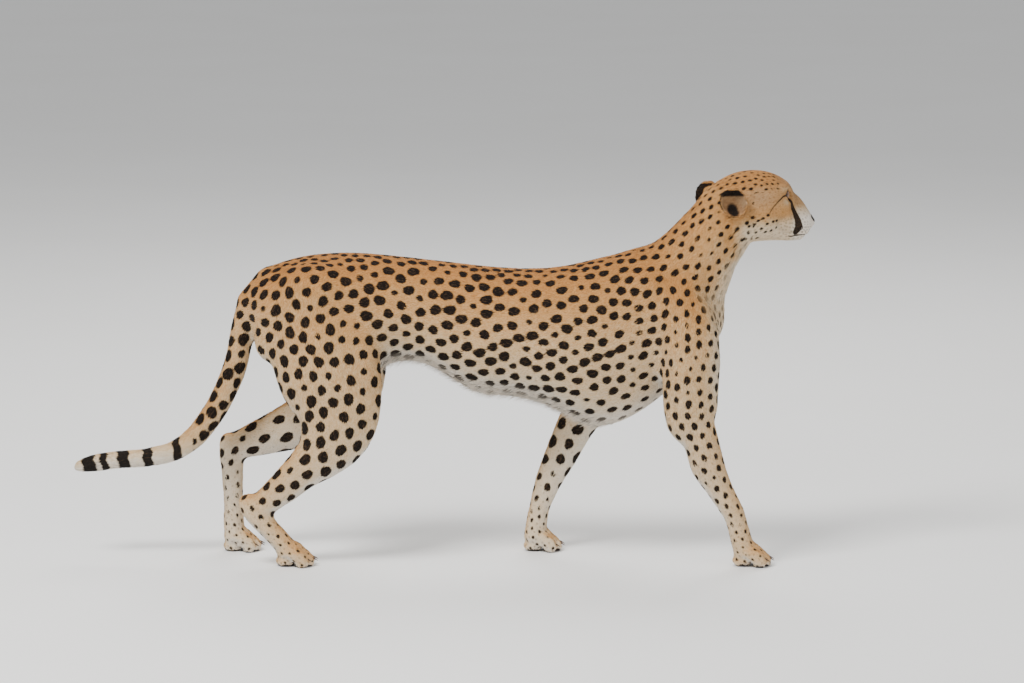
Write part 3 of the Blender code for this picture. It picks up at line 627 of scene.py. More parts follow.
def shaped_face(places, normals):
    """The corners of the skin with lids, nose, lips and whisker pads shaped. Heights and depths are in mm."""
    at = in_head(places)
    on = headness(places) > 0.5
    for side in (1, -1):
        middle, axes = eye_frame(side)
        gap, off, distance = from_eye(at, side)
        near = on & (gap < 14)
        shell = EYE_RADIUS + LID + 0.5 * MM * np.exp(-(((gap - 2.5) / 1.5) ** 2))
        reach = 8.0 + 2.5 * ramp(off[:, 1], -0.004, 0.006)
        blend = np.maximum(ramp(gap, 1.0, reach), ramp(distance, 20 * MM, 26 * MM))
        radius = shell * (1 - blend) + np.maximum(distance, shell) * blend
        crease = np.exp(-(((gap - 4.6) / 1.2) ** 2)) * ramp(off[:, 1], -0.002, 0.005)
        radius = radius - 0.8 * MM * crease * (1 - blend)
        inside = (1 - ramp(gap, -0.9, -0.1)) * (1 - ramp(distance, 20 * MM, 26 * MM))
        radius = radius * (1 - inside) + (EYE_RADIUS - SUNK) * inside
        at[near] = (middle + (off / distance[:, None] * radius[:, None]) @ axes)[near]
    half = folded(at)
    receding = ramp(half[:, 0], 192, 228) * (1 - ramp(half[:, 2], 20, 37)) * on
    at[:, 0] -= RECEDING * receding
    inward = np.zeros(len(at))
    pit = np.linalg.norm((half - NOSTRIL) / [9, 3.4, 2.8], axis=1)
    inward += 5.0 * np.exp(-(pit**3))
    slit, _ = from_line(half, ((224, 9.5, 36.5), (221, 12.0, 38.5), (217, 13.6, 40.5)))
    inward += 2.2 * np.exp(-((slit / 1.3) ** 2))
    groove = np.exp(-((half[:, 1] / 0.9) ** 2)) * ramp(half[:, 2], 11, 14) * (1 - ramp(half[:, 2], 33, 37))
    inward += 1.4 * groove * (half[:, 0] > 205)
    wing, _ = from_line(half, ((219, 14.5, 33.0), (224, 12.0, 30.0), (227, 8.0, 29.0)))
    inward += 0.9 * np.exp(-((wing / 1.4) ** 2))
    lips = np.abs(half[:, 2] - mouth_height(half[:, 0]))
    reach = ramp(half[:, 0], 150, 158) * on
    inward += 2.2 * np.exp(-((lips / 1.3) ** 2)) * reach
    under = half[:, 2] - mouth_height(half[:, 0])
    inward += 0.8 * np.exp(-(((under + 3.0) / 3.5) ** 2)) * reach * (half[:, 0] < 216)
    inward -= 0.8 * np.exp(-(((under - 4.5) / 3.5) ** 2)) * reach * (half[:, 0] < 212)
    pad = np.linalg.norm((half - (204, 25, 25)) / [16, 14, 12], axis=1)
    inward -= 3.2 * np.exp(-(pad**2))
    beside = np.linalg.norm((half - (184, 24, 56)) / [20, 12, 13], axis=1)
    inward += 3.0 * np.exp(-(beside**2))
    root = np.linalg.norm((half - (168, 10, 88)) / [14, 12, 14], axis=1)
    inward += 3.0 * np.exp(-(root**2))
    rim = nose_gap(half)
    inward += 1.0 * np.exp(-(((rim - 0.8) / 1.2) ** 2)) - 1.0 * (1 - ramp(rim, -2.5, 0.0))
    inward[~on] = 0
    back = np.array(normals) @ INTO_HEAD[:3, :3].T
    at = at - back * (inward * MM)[:, None]
    return np.where(on[:, None], moved(at, OUT_OF_HEAD), places)


places = shaped_face(corners_of(skin), normals_of(skin))
lids = lid_gap(in_head(places))
places = eased(places, links, ramp(lids, 1.3, 2.6) * (1 - ramp(lids, 11, 16)), 14)
put_corners(skin, places)
for polygon in skin.data.polygons:
    polygon.use_smooth = True
print("lids, nostrils and mouth are in")

# %% [markdown]
# The skin's unwrap gives each tuft its place in the baked colours, so it is made before the coat.

# %% Unwrap
only(skin)
bpy.ops.object.mode_set(mode="EDIT")
bpy.ops.mesh.select_all(action="SELECT")
bpy.ops.uv.smart_project(angle_limit=math.radians(66), island_margin=0.002)
bpy.ops.object.mode_set(mode="OBJECT")
skin.data.uv_layers.active.name = "OFBake"


def triangles_of(item):
    """Corners, corner normals and unwrapped places of each triangle."""
    data = item.data
    index = np.empty(len(data.polygons) * 3, np.int32)
    data.polygons.foreach_get("vertices", index)
    index = index.reshape(-1, 3)
    flat = np.empty(len(data.loops) * 2, np.float32)
    data.uv_layers["OFBake"].uv.foreach_get("vector", flat)
    return corners_of(item)[index], normals_of(item)[index], flat.reshape(-1, 3, 2).astype(float)


tri_places, tri_normals, tri_flat = triangles_of(skin)
tri_middles = tri_places.mean(axis=1)
crossed = np.cross(tri_places[:, 1] - tri_places[:, 0], tri_places[:, 2] - tri_places[:, 0])
tri_areas = np.linalg.norm(crossed, axis=1) / 2
print("skin area", round(float(tri_areas.sum()), 3), "square metres")


def unit(vectors):
    return vectors / np.maximum(np.linalg.norm(vectors, axis=1), 1e-9)[:, None]


def scattered(per_face, seed):
    """Random places on the skin, so many to each face: place, normal and unwrapped place."""
    draw = np.random.default_rng(seed)
    total = np.cumsum(per_face)
    count = int(total[-1])
    picks = np.searchsorted(total, (np.arange(count) + draw.random(count)) / count * total[-1])
    picks = np.minimum(picks, len(total) - 1)
    a, b = draw.random(count), draw.random(count)
    over = a + b > 1
    a[over], b[over] = 1 - a[over], 1 - b[over]
    shares = np.column_stack([1 - a - b, a, b])[:, :, None]
    mixed = [(source[picks] * shares).sum(axis=1) for source in (tri_places, tri_normals, tri_flat)]
    return mixed[0], unit(mixed[1]), mixed[2]


# %% [markdown]
# A cheetah's coat has solid round spots, evenly strewn but never in step. Spots are thrown at the skin one by
# one, and each stays only where no earlier one is too near. Sizes and spacings come from the lines above.

# %% Spots
skin_faces = [tuple(polygon.vertices) for polygon in skin.data.polygons]
skin_tree = bvhtree.BVHTree.FromPolygons(corners_of(skin).tolist(), skin_faces)


def nearest_skin(points):
    """The nearest place on the skin, and its normal there."""
    found = [skin_tree.find_nearest(point)[:2] for point in points]
    return np.array([hit[0] for hit in found]), np.array([hit[1] for hit in found])


def thrown(places, reach):
    """Keeps the places, in their order, that have no earlier one within reach."""
    cell = float(reach.max())
    keys = np.floor(places / cell).astype(int)
    grid, kept = {}, []
    around = [(x, y, z) for x in (-1, 0, 1) for y in (-1, 0, 1) for z in (-1, 0, 1)]
    for index, (x, y, z) in enumerate(keys.tolist()):
        near = [item for a, b, c in around for item in grid.get((x + a, y + b, z + c), ())]
        if near:
            gaps = np.linalg.norm(places[near] - places[index], axis=1)
            if (gaps < (reach[near] + reach[index]) / 2).any():
                continue
        grid.setdefault((x, y, z), []).append(index)
        kept.append(index)
    return np.array(kept)


def tangent(directions, normals):
    return unit(directions - (directions * normals).sum(axis=1)[:, None] * normals)


def spaced(places, normals, reach, rounds):
    """Lets the places push one another along the skin until the gaps between them are even."""
    for _ in range(rounds):
        tree = kdtree.KDTree(len(places))
        for index, place in enumerate(places):
            tree.insert(place, index)
        tree.balance()
        found = np.array([[hit[1] for hit in tree.find_n(place, 8)[1:]] for place in places])
        off = places[:, None] - places[found]
        gaps = np.maximum(np.linalg.norm(off, axis=2), 1e-6)
        reaches = (reach[:, None] + reach[found]) / 2
        facing = (normals[:, None] * normals[found]).sum(axis=2) > 0
        push = np.clip(1 - gaps / reaches, 0, 1) * facing
        places = places + (off / gaps[:, :, None] * (0.3 * push * reaches)[:, :, None]).sum(axis=1)
        places, normals = nearest_skin(places)
    return places, normals


class Spots:
    """Soft-edged oval marks strewn over the skin."""

    def __init__(self, places, normals, flow, lengths, widths, seed):
        draw = np.random.default_rng(seed)
        self.places, self.normals = places, normals
        self.flow = tangent(flow, normals)
        self.lengths, self.widths = lengths / 2, widths / 2
        self.phases = draw.random((len(places), 3)) * math.tau
        self.tree = kdtree.KDTree(len(places))
        for index, place in enumerate(places):
            self.tree.insert(place, index)
        self.tree.balance()

    def gaps(self, points, normals, nearest=4):
        """How far outside the nearest spot each point lies, in mm, and less than 0 inside."""
        found = np.array([[hit[1] for hit in self.tree.find_n(point, nearest)] for point in points])
        best = np.full(len(points), 60.0)
        for rank in range(nearest):
            index = found[:, rank]
            off = (points - self.places[index]) / MM
            ahead = (off * self.flow[index]).sum(axis=1)
            aside = off - ahead[:, None] * self.flow[index]
            across = (aside * np.cross(self.normals[index], self.flow[index])).sum(axis=1)
            turn = np.arctan2(across, ahead)
            reach = np.hypot(ahead / self.lengths[index], np.linalg.norm(aside, axis=1) / self.widths[index])
            first, second, third = self.phases[index].T
            edge = 1 + 0.07 * np.sin(2 * turn + first) + 0.05 * np.sin(3 * turn + second)
            edge += 0.03 * np.sin(5 * turn + third)
            gap = (reach / edge - 1) * np.sqrt(self.lengths[index] * self.widths[index])
            facing = (normals * self.normals[index]).sum(axis=1) > -0.1
            best = np.where(facing & (gap < best), gap, best)
        return best


SPOT_CROWDING = 0.76  # spacing to least distance
SPACING_ROUNDS = 10
FLECK_CROWDING, FLECK_LENGTH, FLECK_WIDTH = 0.50, 5.0, 4.0  # in mm
TRIES = 60_000

tries, try_normals, _ = scattered(tri_areas * TRIES / tri_areas.sum(), 11)
order = np.random.default_rng(12).permutation(len(tries))
tries, try_normals = tries[order], try_normals[order]
try_flow, try_growth, try_owner = guided(tries)
on_spine = ramp(try_normals[:, 2], 0.65, 0.90) * (try_owner < 4) * (tries[:, 2] > 0.5)
try_growth[:, 4] *= 1 - 0.25 * on_spine
kept = thrown(tries, try_growth[:, 4] * MM * SPOT_CROWDING)
draw = np.random.default_rng(13)
places, normals = spaced(tries[kept], try_normals[kept], try_growth[kept, 4] * MM, SPACING_ROUNDS)
spot_flow, spot_growth, _ = guided(places)
on_spine = ramp(normals[:, 2], 0.65, 0.90) * (try_owner[kept] < 4) * (places[:, 2] > 0.5)
sizes = np.where(draw.random(len(kept)) < 0.12, 0.66, 1.0) * draw.uniform(0.90, 1.12, len(kept))
sizes *= 1 - 0.25 * on_spine
spots = Spots(places, normals, spot_flow, spot_growth[:, 2] * sizes, spot_growth[:, 3] * sizes, 14)
small = thrown(tries[::-1], try_growth[::-1, 4] * MM * FLECK_CROWDING)
flecks = Spots(
    tries[::-1][small],
    try_normals[::-1][small],
    try_flow[::-1][small],
    np.full(len(small), FLECK_LENGTH),
    np.full(len(small), FLECK_WIDTH),
    15,
)
print(len(kept), "spots and", len(small), "flecks")

# %% [markdown]
# The face has its own marks: the tear line from each eye to the mouth, a dark line behind the eye, rows of
# small spots on the cheek, and dots where the whiskers grow. All are given in mm in the head's frame.

# %% Marks of the head and the tail
TEAR_LINE = (  # u, v, w and half width, in mm
    (160.5, 24.0, 93.5, 3.2),
    (166.0, 27.0, 86.0, 4.8),
    (172.5, 28.5, 76.0, 5.7),
    (180.5, 28.5, 60.0, 6.2),
    (186.0, 29.5, 43.0, 7.0),
    (188.5, 29.5, 29.0, 8.4),
    (182.0, 27.0, 18.0, 6.0),
)
OUTER_LINE = (  # u, 0, w and half width, in mm
    (154.0, 0, 98.5, 1.9),
    (143.0, 0, 97.0, 1.7),
    (128.0, 0, 88.0, 1.5),
    (114.0, 0, 75.0, 1.4),
    (103.0, 0, 61.0, 1.1),
)
CHEEK_SPOTS = (  # u and w, in mm
    ((103.8, 62.2), (92.0, 56.5), (81.8, 52.2), (73.8, 44.7), (61.5, 41.7)),
    ((126.5, 48.9), (116.4, 48.2), (102.1, 44.7), (90.2, 35.0), (79.5, 27.0), (61.3, 26.7)),
    ((130.6, 33.3), (115.0, 28.9), (101.1, 27.0), (91.3, 12.7), (76.0, 12.0), (58.2, 14.2)),
)
CHEEK_SPOT = 3.1  # radius in mm
WHISKER_ROWS = (  # w of the row, and u of its dots, in mm
    (34.0, (201, 208, 214)),
    (28.5, (194, 201, 208, 215)),
    (23.0, (192, 199, 206, 213)),
    (18.0, (196, 203, 210)),
)
TAIL_RINGS = ((-0.545, -0.562), (-0.606, -0.627), (-0.656, -0.681), (-0.702, -0.718), (-0.729, -0.757))
# The dark depth of each ear's cup is painted shade in its hollow.
EAR_MIDDLE, EAR_SHADE_MIDDLE = (26, 74, 92), (24, 66, 75)  # of the cup, and its dark depth, in mm
CUP_MIDDLE, CUP_RADIUS = (25, 0, 93), 28.5  # of the cup's rim, seen from the side, in mm
TAIL_PLAIN = -0.525  # no loose spots beyond this


def wide_line(points, rows):
    gap, along = from_line(points, [row[:3] for row in rows])
    widths = np.array([row[3] for row in rows])
    return gap - np.interp(along * (len(rows) - 1), range(len(rows)), widths)


def head_marks(half, normals, points):
    """Signed distance to the nearest dark mark of the head, in mm."""
    outer = np.where(half[:, 1] > 34, wide_line(half * [1, 0, 1], OUTER_LINE), 60)
    gap = np.minimum(wide_line(half, TEAR_LINE), outer)
    for row, dots in enumerate(CHEEK_SPOTS):
        for u, w in dots:
            off = np.hypot((half[:, 0] - u) / 1.35, half[:, 2] - w)
            gap = np.minimum(gap, np.where(half[:, 1] > 25, off - CHEEK_SPOT, 60))
    for w, dots in WHISKER_ROWS:
        for u in dots:
            off = np.hypot(half[:, 0] - u, half[:, 2] - w) - 1.1
            gap = np.minimum(gap, np.where(half[:, 1] > 12, off, 60))
    lips = np.abs(half[:, 2] - mouth_height(half[:, 0])) - 1.5
    gap = np.minimum(gap, np.where(half[:, 0] > 166, lips, 60))
    groove = np.maximum(half[:, 1] - 1.0, np.abs(half[:, 2] - 22) - 9)
    gap = np.minimum(gap, np.where(half[:, 0] > 210, groove, 60))
    return np.minimum(gap, lid_gap(in_head(points)) - 2.6)


def tail_marks(points):
    """Signed distance to the nearest ring near the tail's end, in mm."""
    gap = np.full(len(points), 60.0)
    wobble = 0.002 * np.sin(points[:, 1] * 260 + points[:, 2] * 190)
    for start, end in TAIL_RINGS:
        x = points[:, 0] + wobble + 0.16 * (points[:, 2] - 0.21)
        inside = np.maximum(x - start, end - x) / MM
        gap = np.minimum(gap, inside)
    return gap


# %% [markdown]
# The ground colour runs from tawny on the back to white below. It is one number, the tone, worked out from
# where a place lies and which way it faces, so the skin and the tufts can share it. Painted shade greys the
# coat on the sides of the face, the muzzle, the brow, inside the ears and on the undersides.

# %% Tones and markings
def tones(points, normals, owner):
    """How pale the coat is: 0 along the back, 1 where it is white."""
    x, y, z = points.T
    across, upward = normals[:, 1], normals[:, 2]
    name = np.array(names)[owner]
    legs = np.char.find(name.astype(str), "leg") >= 0
    tail = name == "tail"
    inner = ramp(-across * np.sign(y), 0.15, 0.75) * ramp(-z, -0.47, -0.38)
    tone = 0.40 - 0.34 * upward
    tone = tone + 0.42 * ramp(-upward, 0.30, 0.90) * ~tail
    tone = tone + 0.22 * inner * ~tail
    tone = tone + 0.10 * (1 - ramp(z, 0.15, 0.42)) * legs
    tone = tone + 0.14 * (1 - ramp(z, 0.42, 0.60)) * ~tail
    tone = tone + 0.30 * ramp(normals[:, 0], 0.25, 0.85) * ramp(x, 0.46, 0.54) * ramp(z, 0.30, 0.40)
    tone = tone + (0.10 + 0.42 * ramp(-x, 0.50, 0.60)) * tail
    half = folded(in_head(points))
    on = headness(points)
    face = np.full(len(points), 0.30)
    face += 0.50 * (1 - ramp(half[:, 2], 30, 66)) * ramp(half[:, 0], 20, 60)
    face += 0.42 * ramp(half[:, 0], 168, 192) * (1 - ramp(half[:, 2], 56, 82))
    face += 0.35 * np.exp(-((np.linalg.norm((half - (150, 42, 84)) / [16, 12, 7], axis=1)) ** 2))
    face += 0.30 * np.exp(-((np.linalg.norm((half - (150, 36, 112)) / [14, 12, 5], axis=1)) ** 2))
    face -= 0.12 * ramp(half[:, 2], 108, 128)
    tone = tone * (1 - on) + face * on
    return np.clip(tone, 0, 1)


def markings(points, normals):
    """Everything that the coat's colour needs at each point."""
    flow, growth, owner = guided(points)
    half = folded(in_head(points))
    on = headness(points)
    ears = earness(points)
    tone = tones(points, normals, owner)
    spot = spots.gaps(points, normals)
    fleck = flecks.gaps(points, normals, 2)
    face = on * ramp(half[:, 0], 70, 84) * (1 - ramp(half[:, 2], 104, 112))
    face = np.maximum(face, on * ramp(half[:, 0], 138, 148))
    tail = np.array(names)[owner] == "tail"
    spot = np.where((face > 0.5) | (ears > 0.3) | (tail & (points[:, 0] < TAIL_PLAIN)), 60.0, spot)
    fleck = np.where(tail | (ears > 0.3), 60.0, fleck)
    mark = np.where(on > 0.4, head_marks(half, normals, points), 60.0)
    mark = np.where(tail, tail_marks(points), mark)
    folded_normals = normals @ INTO_HEAD[:3, :3].T
    folded_normals[:, 1] *= np.sign(in_head(points)[:, 1])
    outside = (folded_normals * (half - EAR_MIDDLE)).sum(axis=1) > 0
    back = np.maximum(np.abs(half[:, 2] - 97) - 21, 20 * (folded_normals[:, 0] - 0.3))
    back = np.maximum(back, half[:, 0] - 38)
    # Inside the ear the cup is darkened most in its depth and in a band below the top of its rim: painted
    # shade in the ear's hollow. The back of the ear is its own black.
    from_ear_shade = np.linalg.norm((half - EAR_SHADE_MIDDLE) / [1.0, 1.6, 1.33], axis=1)
    hollow = 0.3 * (from_ear_shade - 13)
    fold = 0.4 * (np.abs(half[:, 2] - 113) - 8)
    ear_back_and_shade = np.where(outside, back, np.minimum(hollow, fold))
    # Inside the ears this dark mark is painted shade; on their backs it is the ears' own black.
    mark = np.where(ears > 0.5, np.maximum(ear_back_and_shade, 54 - half[:, 1]), mark)
    # The tone inside the cup is made dark, darkest in its depth: painted shade.
    cup = 1 - ramp(np.linalg.norm(half * [1, 0, 1] - CUP_MIDDLE, axis=1), CUP_RADIUS - 2, CUP_RADIUS + 2)
    cup = cup * (ears > 0.5) * ~outside
    tone = tone * (1 - cup) + (0.04 + 0.20 * ramp(from_ear_shade, 14, 32)) * cup
    # Painted shade: the coat is greyed on the shaded side of the head, the muzzle and the brow, inside the ear
    # cups and on the undersides.
    shade_grey = 0.55 * on * np.exp(-((np.linalg.norm((half - (92, 55, 98)) / [45, 30, 26], axis=1)) ** 2))
    shade_grey += 0.45 * on * ramp(half[:, 0], 160, 190) * (half[:, 2] > 20)
    shade_grey += 0.60 * cup + 0.30 * on * ramp(half[:, 0], 120, 150) * ramp(half[:, 2], 95, 115)
    shade_grey = shade_grey + 0.35 * ramp(-normals[:, 2], 0.3, 0.8) * (1 - on)
    under = ramp(-normals[:, 2], 0.55, 0.95) * (points[:, 2] > 0.25)
    ink = 1 - 0.55 * under * (mark > 30)
    throat = ramp(normals[:, 0], 0.45, 0.8) * ramp(points[:, 2], 0.50, 0.58) * (points[:, 0] > 0.5)
    ink = ink * (1 - 0.8 * throat)
    return {"tone": tone, "shade_grey": shade_grey, "spot": spot, "fleck": fleck, "mark": mark, "ink": ink}, flow, growth


def bareness(points, normals):
    """1 where there is no hair: nose, lips, rims of the eyes and pads of the feet."""
    at = in_head(points)
    half = folded(at)
    on = headness(points) > 0.5
    nose = nose_gap(half) < 0
    lips = (np.abs(half[:, 2] - mouth_height(half[:, 0])) < 1.2) & (half[:, 0] > 165)
    eyes = lid_gap(at) < 1.4
    pads = (points[:, 2] < 0.010) & (normals[:, 2] < -0.5)
    return (on & (nose | lips | eyes)) | pads


def put_values(item, values):
    """Stores numbers on the corners of a mesh, for its material."""
    for name, numbers in values.items():
        layer = item.data.attributes.new(name, "FLOAT", "POINT")
        layer.data.foreach_set("value", np.ascontiguousarray(numbers, np.float32))


places, normals = corners_of(skin), normals_of(skin)
values, _, _ = markings(places, normals)
values["bare"] = bareness(places, normals).astype(float)
put_values(skin, values)
print("skin marked:", round(float((values["spot"] < 0).mean()), 3), "of its corners lie in spots")

# %% [markdown]
# Colours are given as sRGB hex codes. The coat's material reads the marks stored on each corner, so that the
# skin and every tuft on it agree.

# %% Materials
def colour(code):
    """A linear colour from an sRGB hex code."""
    parts = [int(code[at : at + 2], 16) / 255 for at in (1, 3, 5)]
    return [part / 12.92 if part <= 0.04045 else ((part + 0.055) / 1.055) ** 2.4 for part in parts] + [1.0]


def add(tree, kind, inputs=(), **settings):
    """A new shader node with its settings, and with a value or a link for each input."""
    made = tree.nodes.new("ShaderNode" + kind)
    for name, value in settings.items():
        setattr(made, name, value)
    for socket, value in dict(inputs).items():
        if isinstance(value, bpy.types.NodeSocket):
            tree.links.new(value, made.inputs[socket])
        else:
            made.inputs[socket].default_value = value
    return made


def new_material(name, **shader):
    """A material with its shader's plain values set."""
    made = bpy.data.materials.new(name)
    made.use_nodes = True
    tree = made.node_tree
    tree.nodes.clear()
    surface = add(tree, "BsdfPrincipled", {key.replace("_", " "): value for key, value in shader.items()})
    add(tree, "OutputMaterial", {"Surface": surface.outputs["BSDF"]})
    return made, tree, surface


def stops(tree, value, rows, interpolation="LINEAR"):
    """A colour ramp on a value: each row is a place and a hex code."""
    made = add(tree, "ValToRGB", {"Fac": value})
    made.color_ramp.interpolation = interpolation
    while len(made.color_ramp.elements) < len(rows):
        made.color_ramp.elements.new(0.5)
    for element, (place, code) in zip(made.color_ramp.elements, rows):
        element.position, element.color = place, colour(code)
    return made.outputs["Color"]


def stored(tree, name):
    return add(tree, "Attribute", attribute_name=name).outputs["Fac"]


def spread(tree, value, start, end, low=0.0, high=1.0):
    """Maps a value from start..end to low..high, smoothly."""
    made = add(
        tree,
        "MapRange",
        {"Value": value, "From Min": start, "From Max": end, "To Min": low, "To Max": high},
        interpolation_type="SMOOTHSTEP",
    )
    return made.outputs["Result"]


def blended(tree, factor, first, second, blend="MIX"):
    made = add(tree, "Mix", data_type="RGBA", blend_type=blend)
    for socket, value in ((0, factor), (6, first), (7, second)):
        if isinstance(value, bpy.types.NodeSocket):
            tree.links.new(value, made.inputs[socket])
        else:
            made.inputs[socket].default_value = value
    return made.outputs[2]


def times(tree, first, second, operation="MULTIPLY"):
    return add(tree, "Math", {0: first, 1: second}, operation=operation).outputs[0]


print("colours and shader helpers are ready")

# %% [markdown]
# The same colour tree serves the skin and the hair: the tone picks the ground colour, painted shade greys it,
# then the flecks, the spots and the dark marks are laid over it, each where its stored distance falls below
# nothing. Inside the ears the dark mark is painted shade too.

# %% Hide and hair
COAT_TONES = (
    (0.00, "#B0743C"),
    (0.22, "#C38A4E"),
    (0.42, "#D3A46C"),
    (0.62, "#E2C398"),
    (0.82, "#E9D5B6"),
    (1.00, "#EEE3D2"),
)
# Greyer, shaded copies of the coat's tones, for the painted shade.
SHADE_TONES = ((0.00, "#8A7156"), (0.40, "#A89478"), (0.70, "#CFC3B1"), (1.00, "#E6E1D8"))


def coat_colour(tree, patchy):
    """The coat's colour from the stored marks and the stored painted shade."""
    tone = times(tree, stored(tree, "tone"), patchy, "ADD")
    base = stops(tree, tone, COAT_TONES)
    shaded_tones = stops(tree, tone, SHADE_TONES)
    # Painted shade greys the ground colour.
    base = blended(tree, stored(tree, "shade_grey"), base, shaded_tones)
    fleck = times(tree, spread(tree, stored(tree, "fleck"), -1.0, 1.2, 0.42, 0.0), stored(tree, "ink"))
    base = blended(tree, fleck, base, colour("#6E4526"))
    spot = times(tree, spread(tree, stored(tree, "spot"), -1.6, 1.4, 0.995, 0.0), stored(tree, "ink"))
    base = blended(tree, spot, base, colour("#130D0A"))
    mark = spread(tree, stored(tree, "mark"), -1.0, 1.0, 0.99, 0.0)
    return blended(tree, mark, base, colour("#130E0C"))


# Hide under a short coat: matt, with fine close hair as bump; the nose, lips and pads are bare dark leather.
hide, tree, surface = new_material("cheetah hide, short hair", Roughness=0.85, Specular_IOR_Level=0.25)
place = add(tree, "TexCoord").outputs["Object"]
cloud = add(tree, "TexNoise", {"Vector": place, "Scale": 24.0, "Detail": 3.0}).outputs["Fac"]
fine = add(tree, "TexNoise", {"Vector": place, "Scale": 900.0, "Detail": 2.0}).outputs["Fac"]
grain = add(tree, "TexVoronoi", {"Vector": place, "Scale": 1300.0}).outputs["Distance"]
patchy = spread(tree, cloud, 0.3, 0.7, -0.05, 0.05)
furry = blended(tree, spread(tree, fine, 0.35, 0.65, 0.0, 0.25), coat_colour(tree, patchy), colour("#8A6238"))
leather = blended(tree, spread(tree, grain, 0.0, 0.6, 0.0, 0.4), colour("#17100E"), colour("#33241F"))
bare = spread(tree, stored(tree, "bare"), 0.35, 0.65)
tree.links.new(blended(tree, bare, furry, leather), surface.inputs["Base Color"])
tree.links.new(spread(tree, bare, 0.0, 1.0, 0.85, 0.38), surface.inputs["Roughness"])
height = blended(tree, bare, fine, grain)
bump = add(tree, "Bump", {"Height": height, "Strength": 0.5, "Distance": 0.0006})
tree.links.new(bump.outputs["Normal"], surface.inputs["Normal"])

# Coat hair: soft sheen and many fine hairs along each tuft, a little darker at the root, which is painted
# shade where the tufts overlap.
fur, tree, surface = new_material(
    "cheetah coat hair", Roughness=0.75, Specular_IOR_Level=0.12, Sheen_Weight=0.03, Sheen_Roughness=0.45
)
chances, across, length = stored(tree, "chance"), stored(tree, "across"), stored(tree, "along")
streak_place = add(
    tree,
    "CombineXYZ",
    {"X": times(tree, across, 3.2), "Y": times(tree, length, 1.1), "Z": times(tree, chances, 60.0)},
).outputs[0]
streak = add(tree, "TexNoise", {"Vector": streak_place, "Scale": 2.0, "Detail": 3.0}).outputs["Fac"]
patchy = spread(tree, chances, 0.0, 1.0, -0.09, 0.09)
shade = coat_colour(tree, patchy)
# Painted shade: each tuft darkens towards its root, which lies under the tufts beside it.
root_shaded = blended(tree, spread(tree, length, 0.0, 0.7, 0.30, 0.0), shade, colour("#7A5737"), "MULTIPLY")
streaked = blended(tree, spread(tree, streak, 0.30, 0.60, 0.30, 0.0), root_shaded, colour("#8F6E4B"), "MULTIPLY")
tree.links.new(streaked, surface.inputs["Base Color"])
bump = add(tree, "Bump", {"Height": streak, "Strength": 0.6, "Distance": 0.0004})
tree.links.new(bump.outputs["Normal"], surface.inputs["Normal"])

skin.data.materials.clear()
skin.data.materials.append(hide)
print("materials", [item.name for item in (hide, fur)])

# %% [markdown]
# The coat is solid mesh: short thin tufts of five corners each, laid along the body and overlapping like
# tiles. Arrays place them all at once, since a brush could not comb two hundred thousand.

# %% Coat
LEAF = np.array(((0, 1, 3), (0, 3, 2), (1, 4, 3), (3, 4, 2), (0, 2, 1), (1, 2, 4)))
LEAF_CORNERS = 5
LEAF_ACROSS = (0.0, -1.0, 1.0, 0.0, 0.0)
LEAF_ALONG = (0.0, 0.35, 0.35, 0.45, 1.0)
TUFTS, TUFT_WIDTH = 140_000, 2.0  # to a square metre of the body, and in mm
LYING_LENGTH = 0.95  # of the hair's length
LIFT = 0.15  # of a tuft's length, at its tip
EAR_HAIR = 6 * MM
MARKED_FROM, MARKED_TO = 0.12, 0.70  # where along a tuft the coat's marks are taken for its root and its tip
PATCH = 0.0015  # half of a tuft's patch on the unwrap
PATCH_SHAPE = np.array(((0, -1), (-1, 0), (1, 0), (0, 0.2), (0, 1))) * PATCH


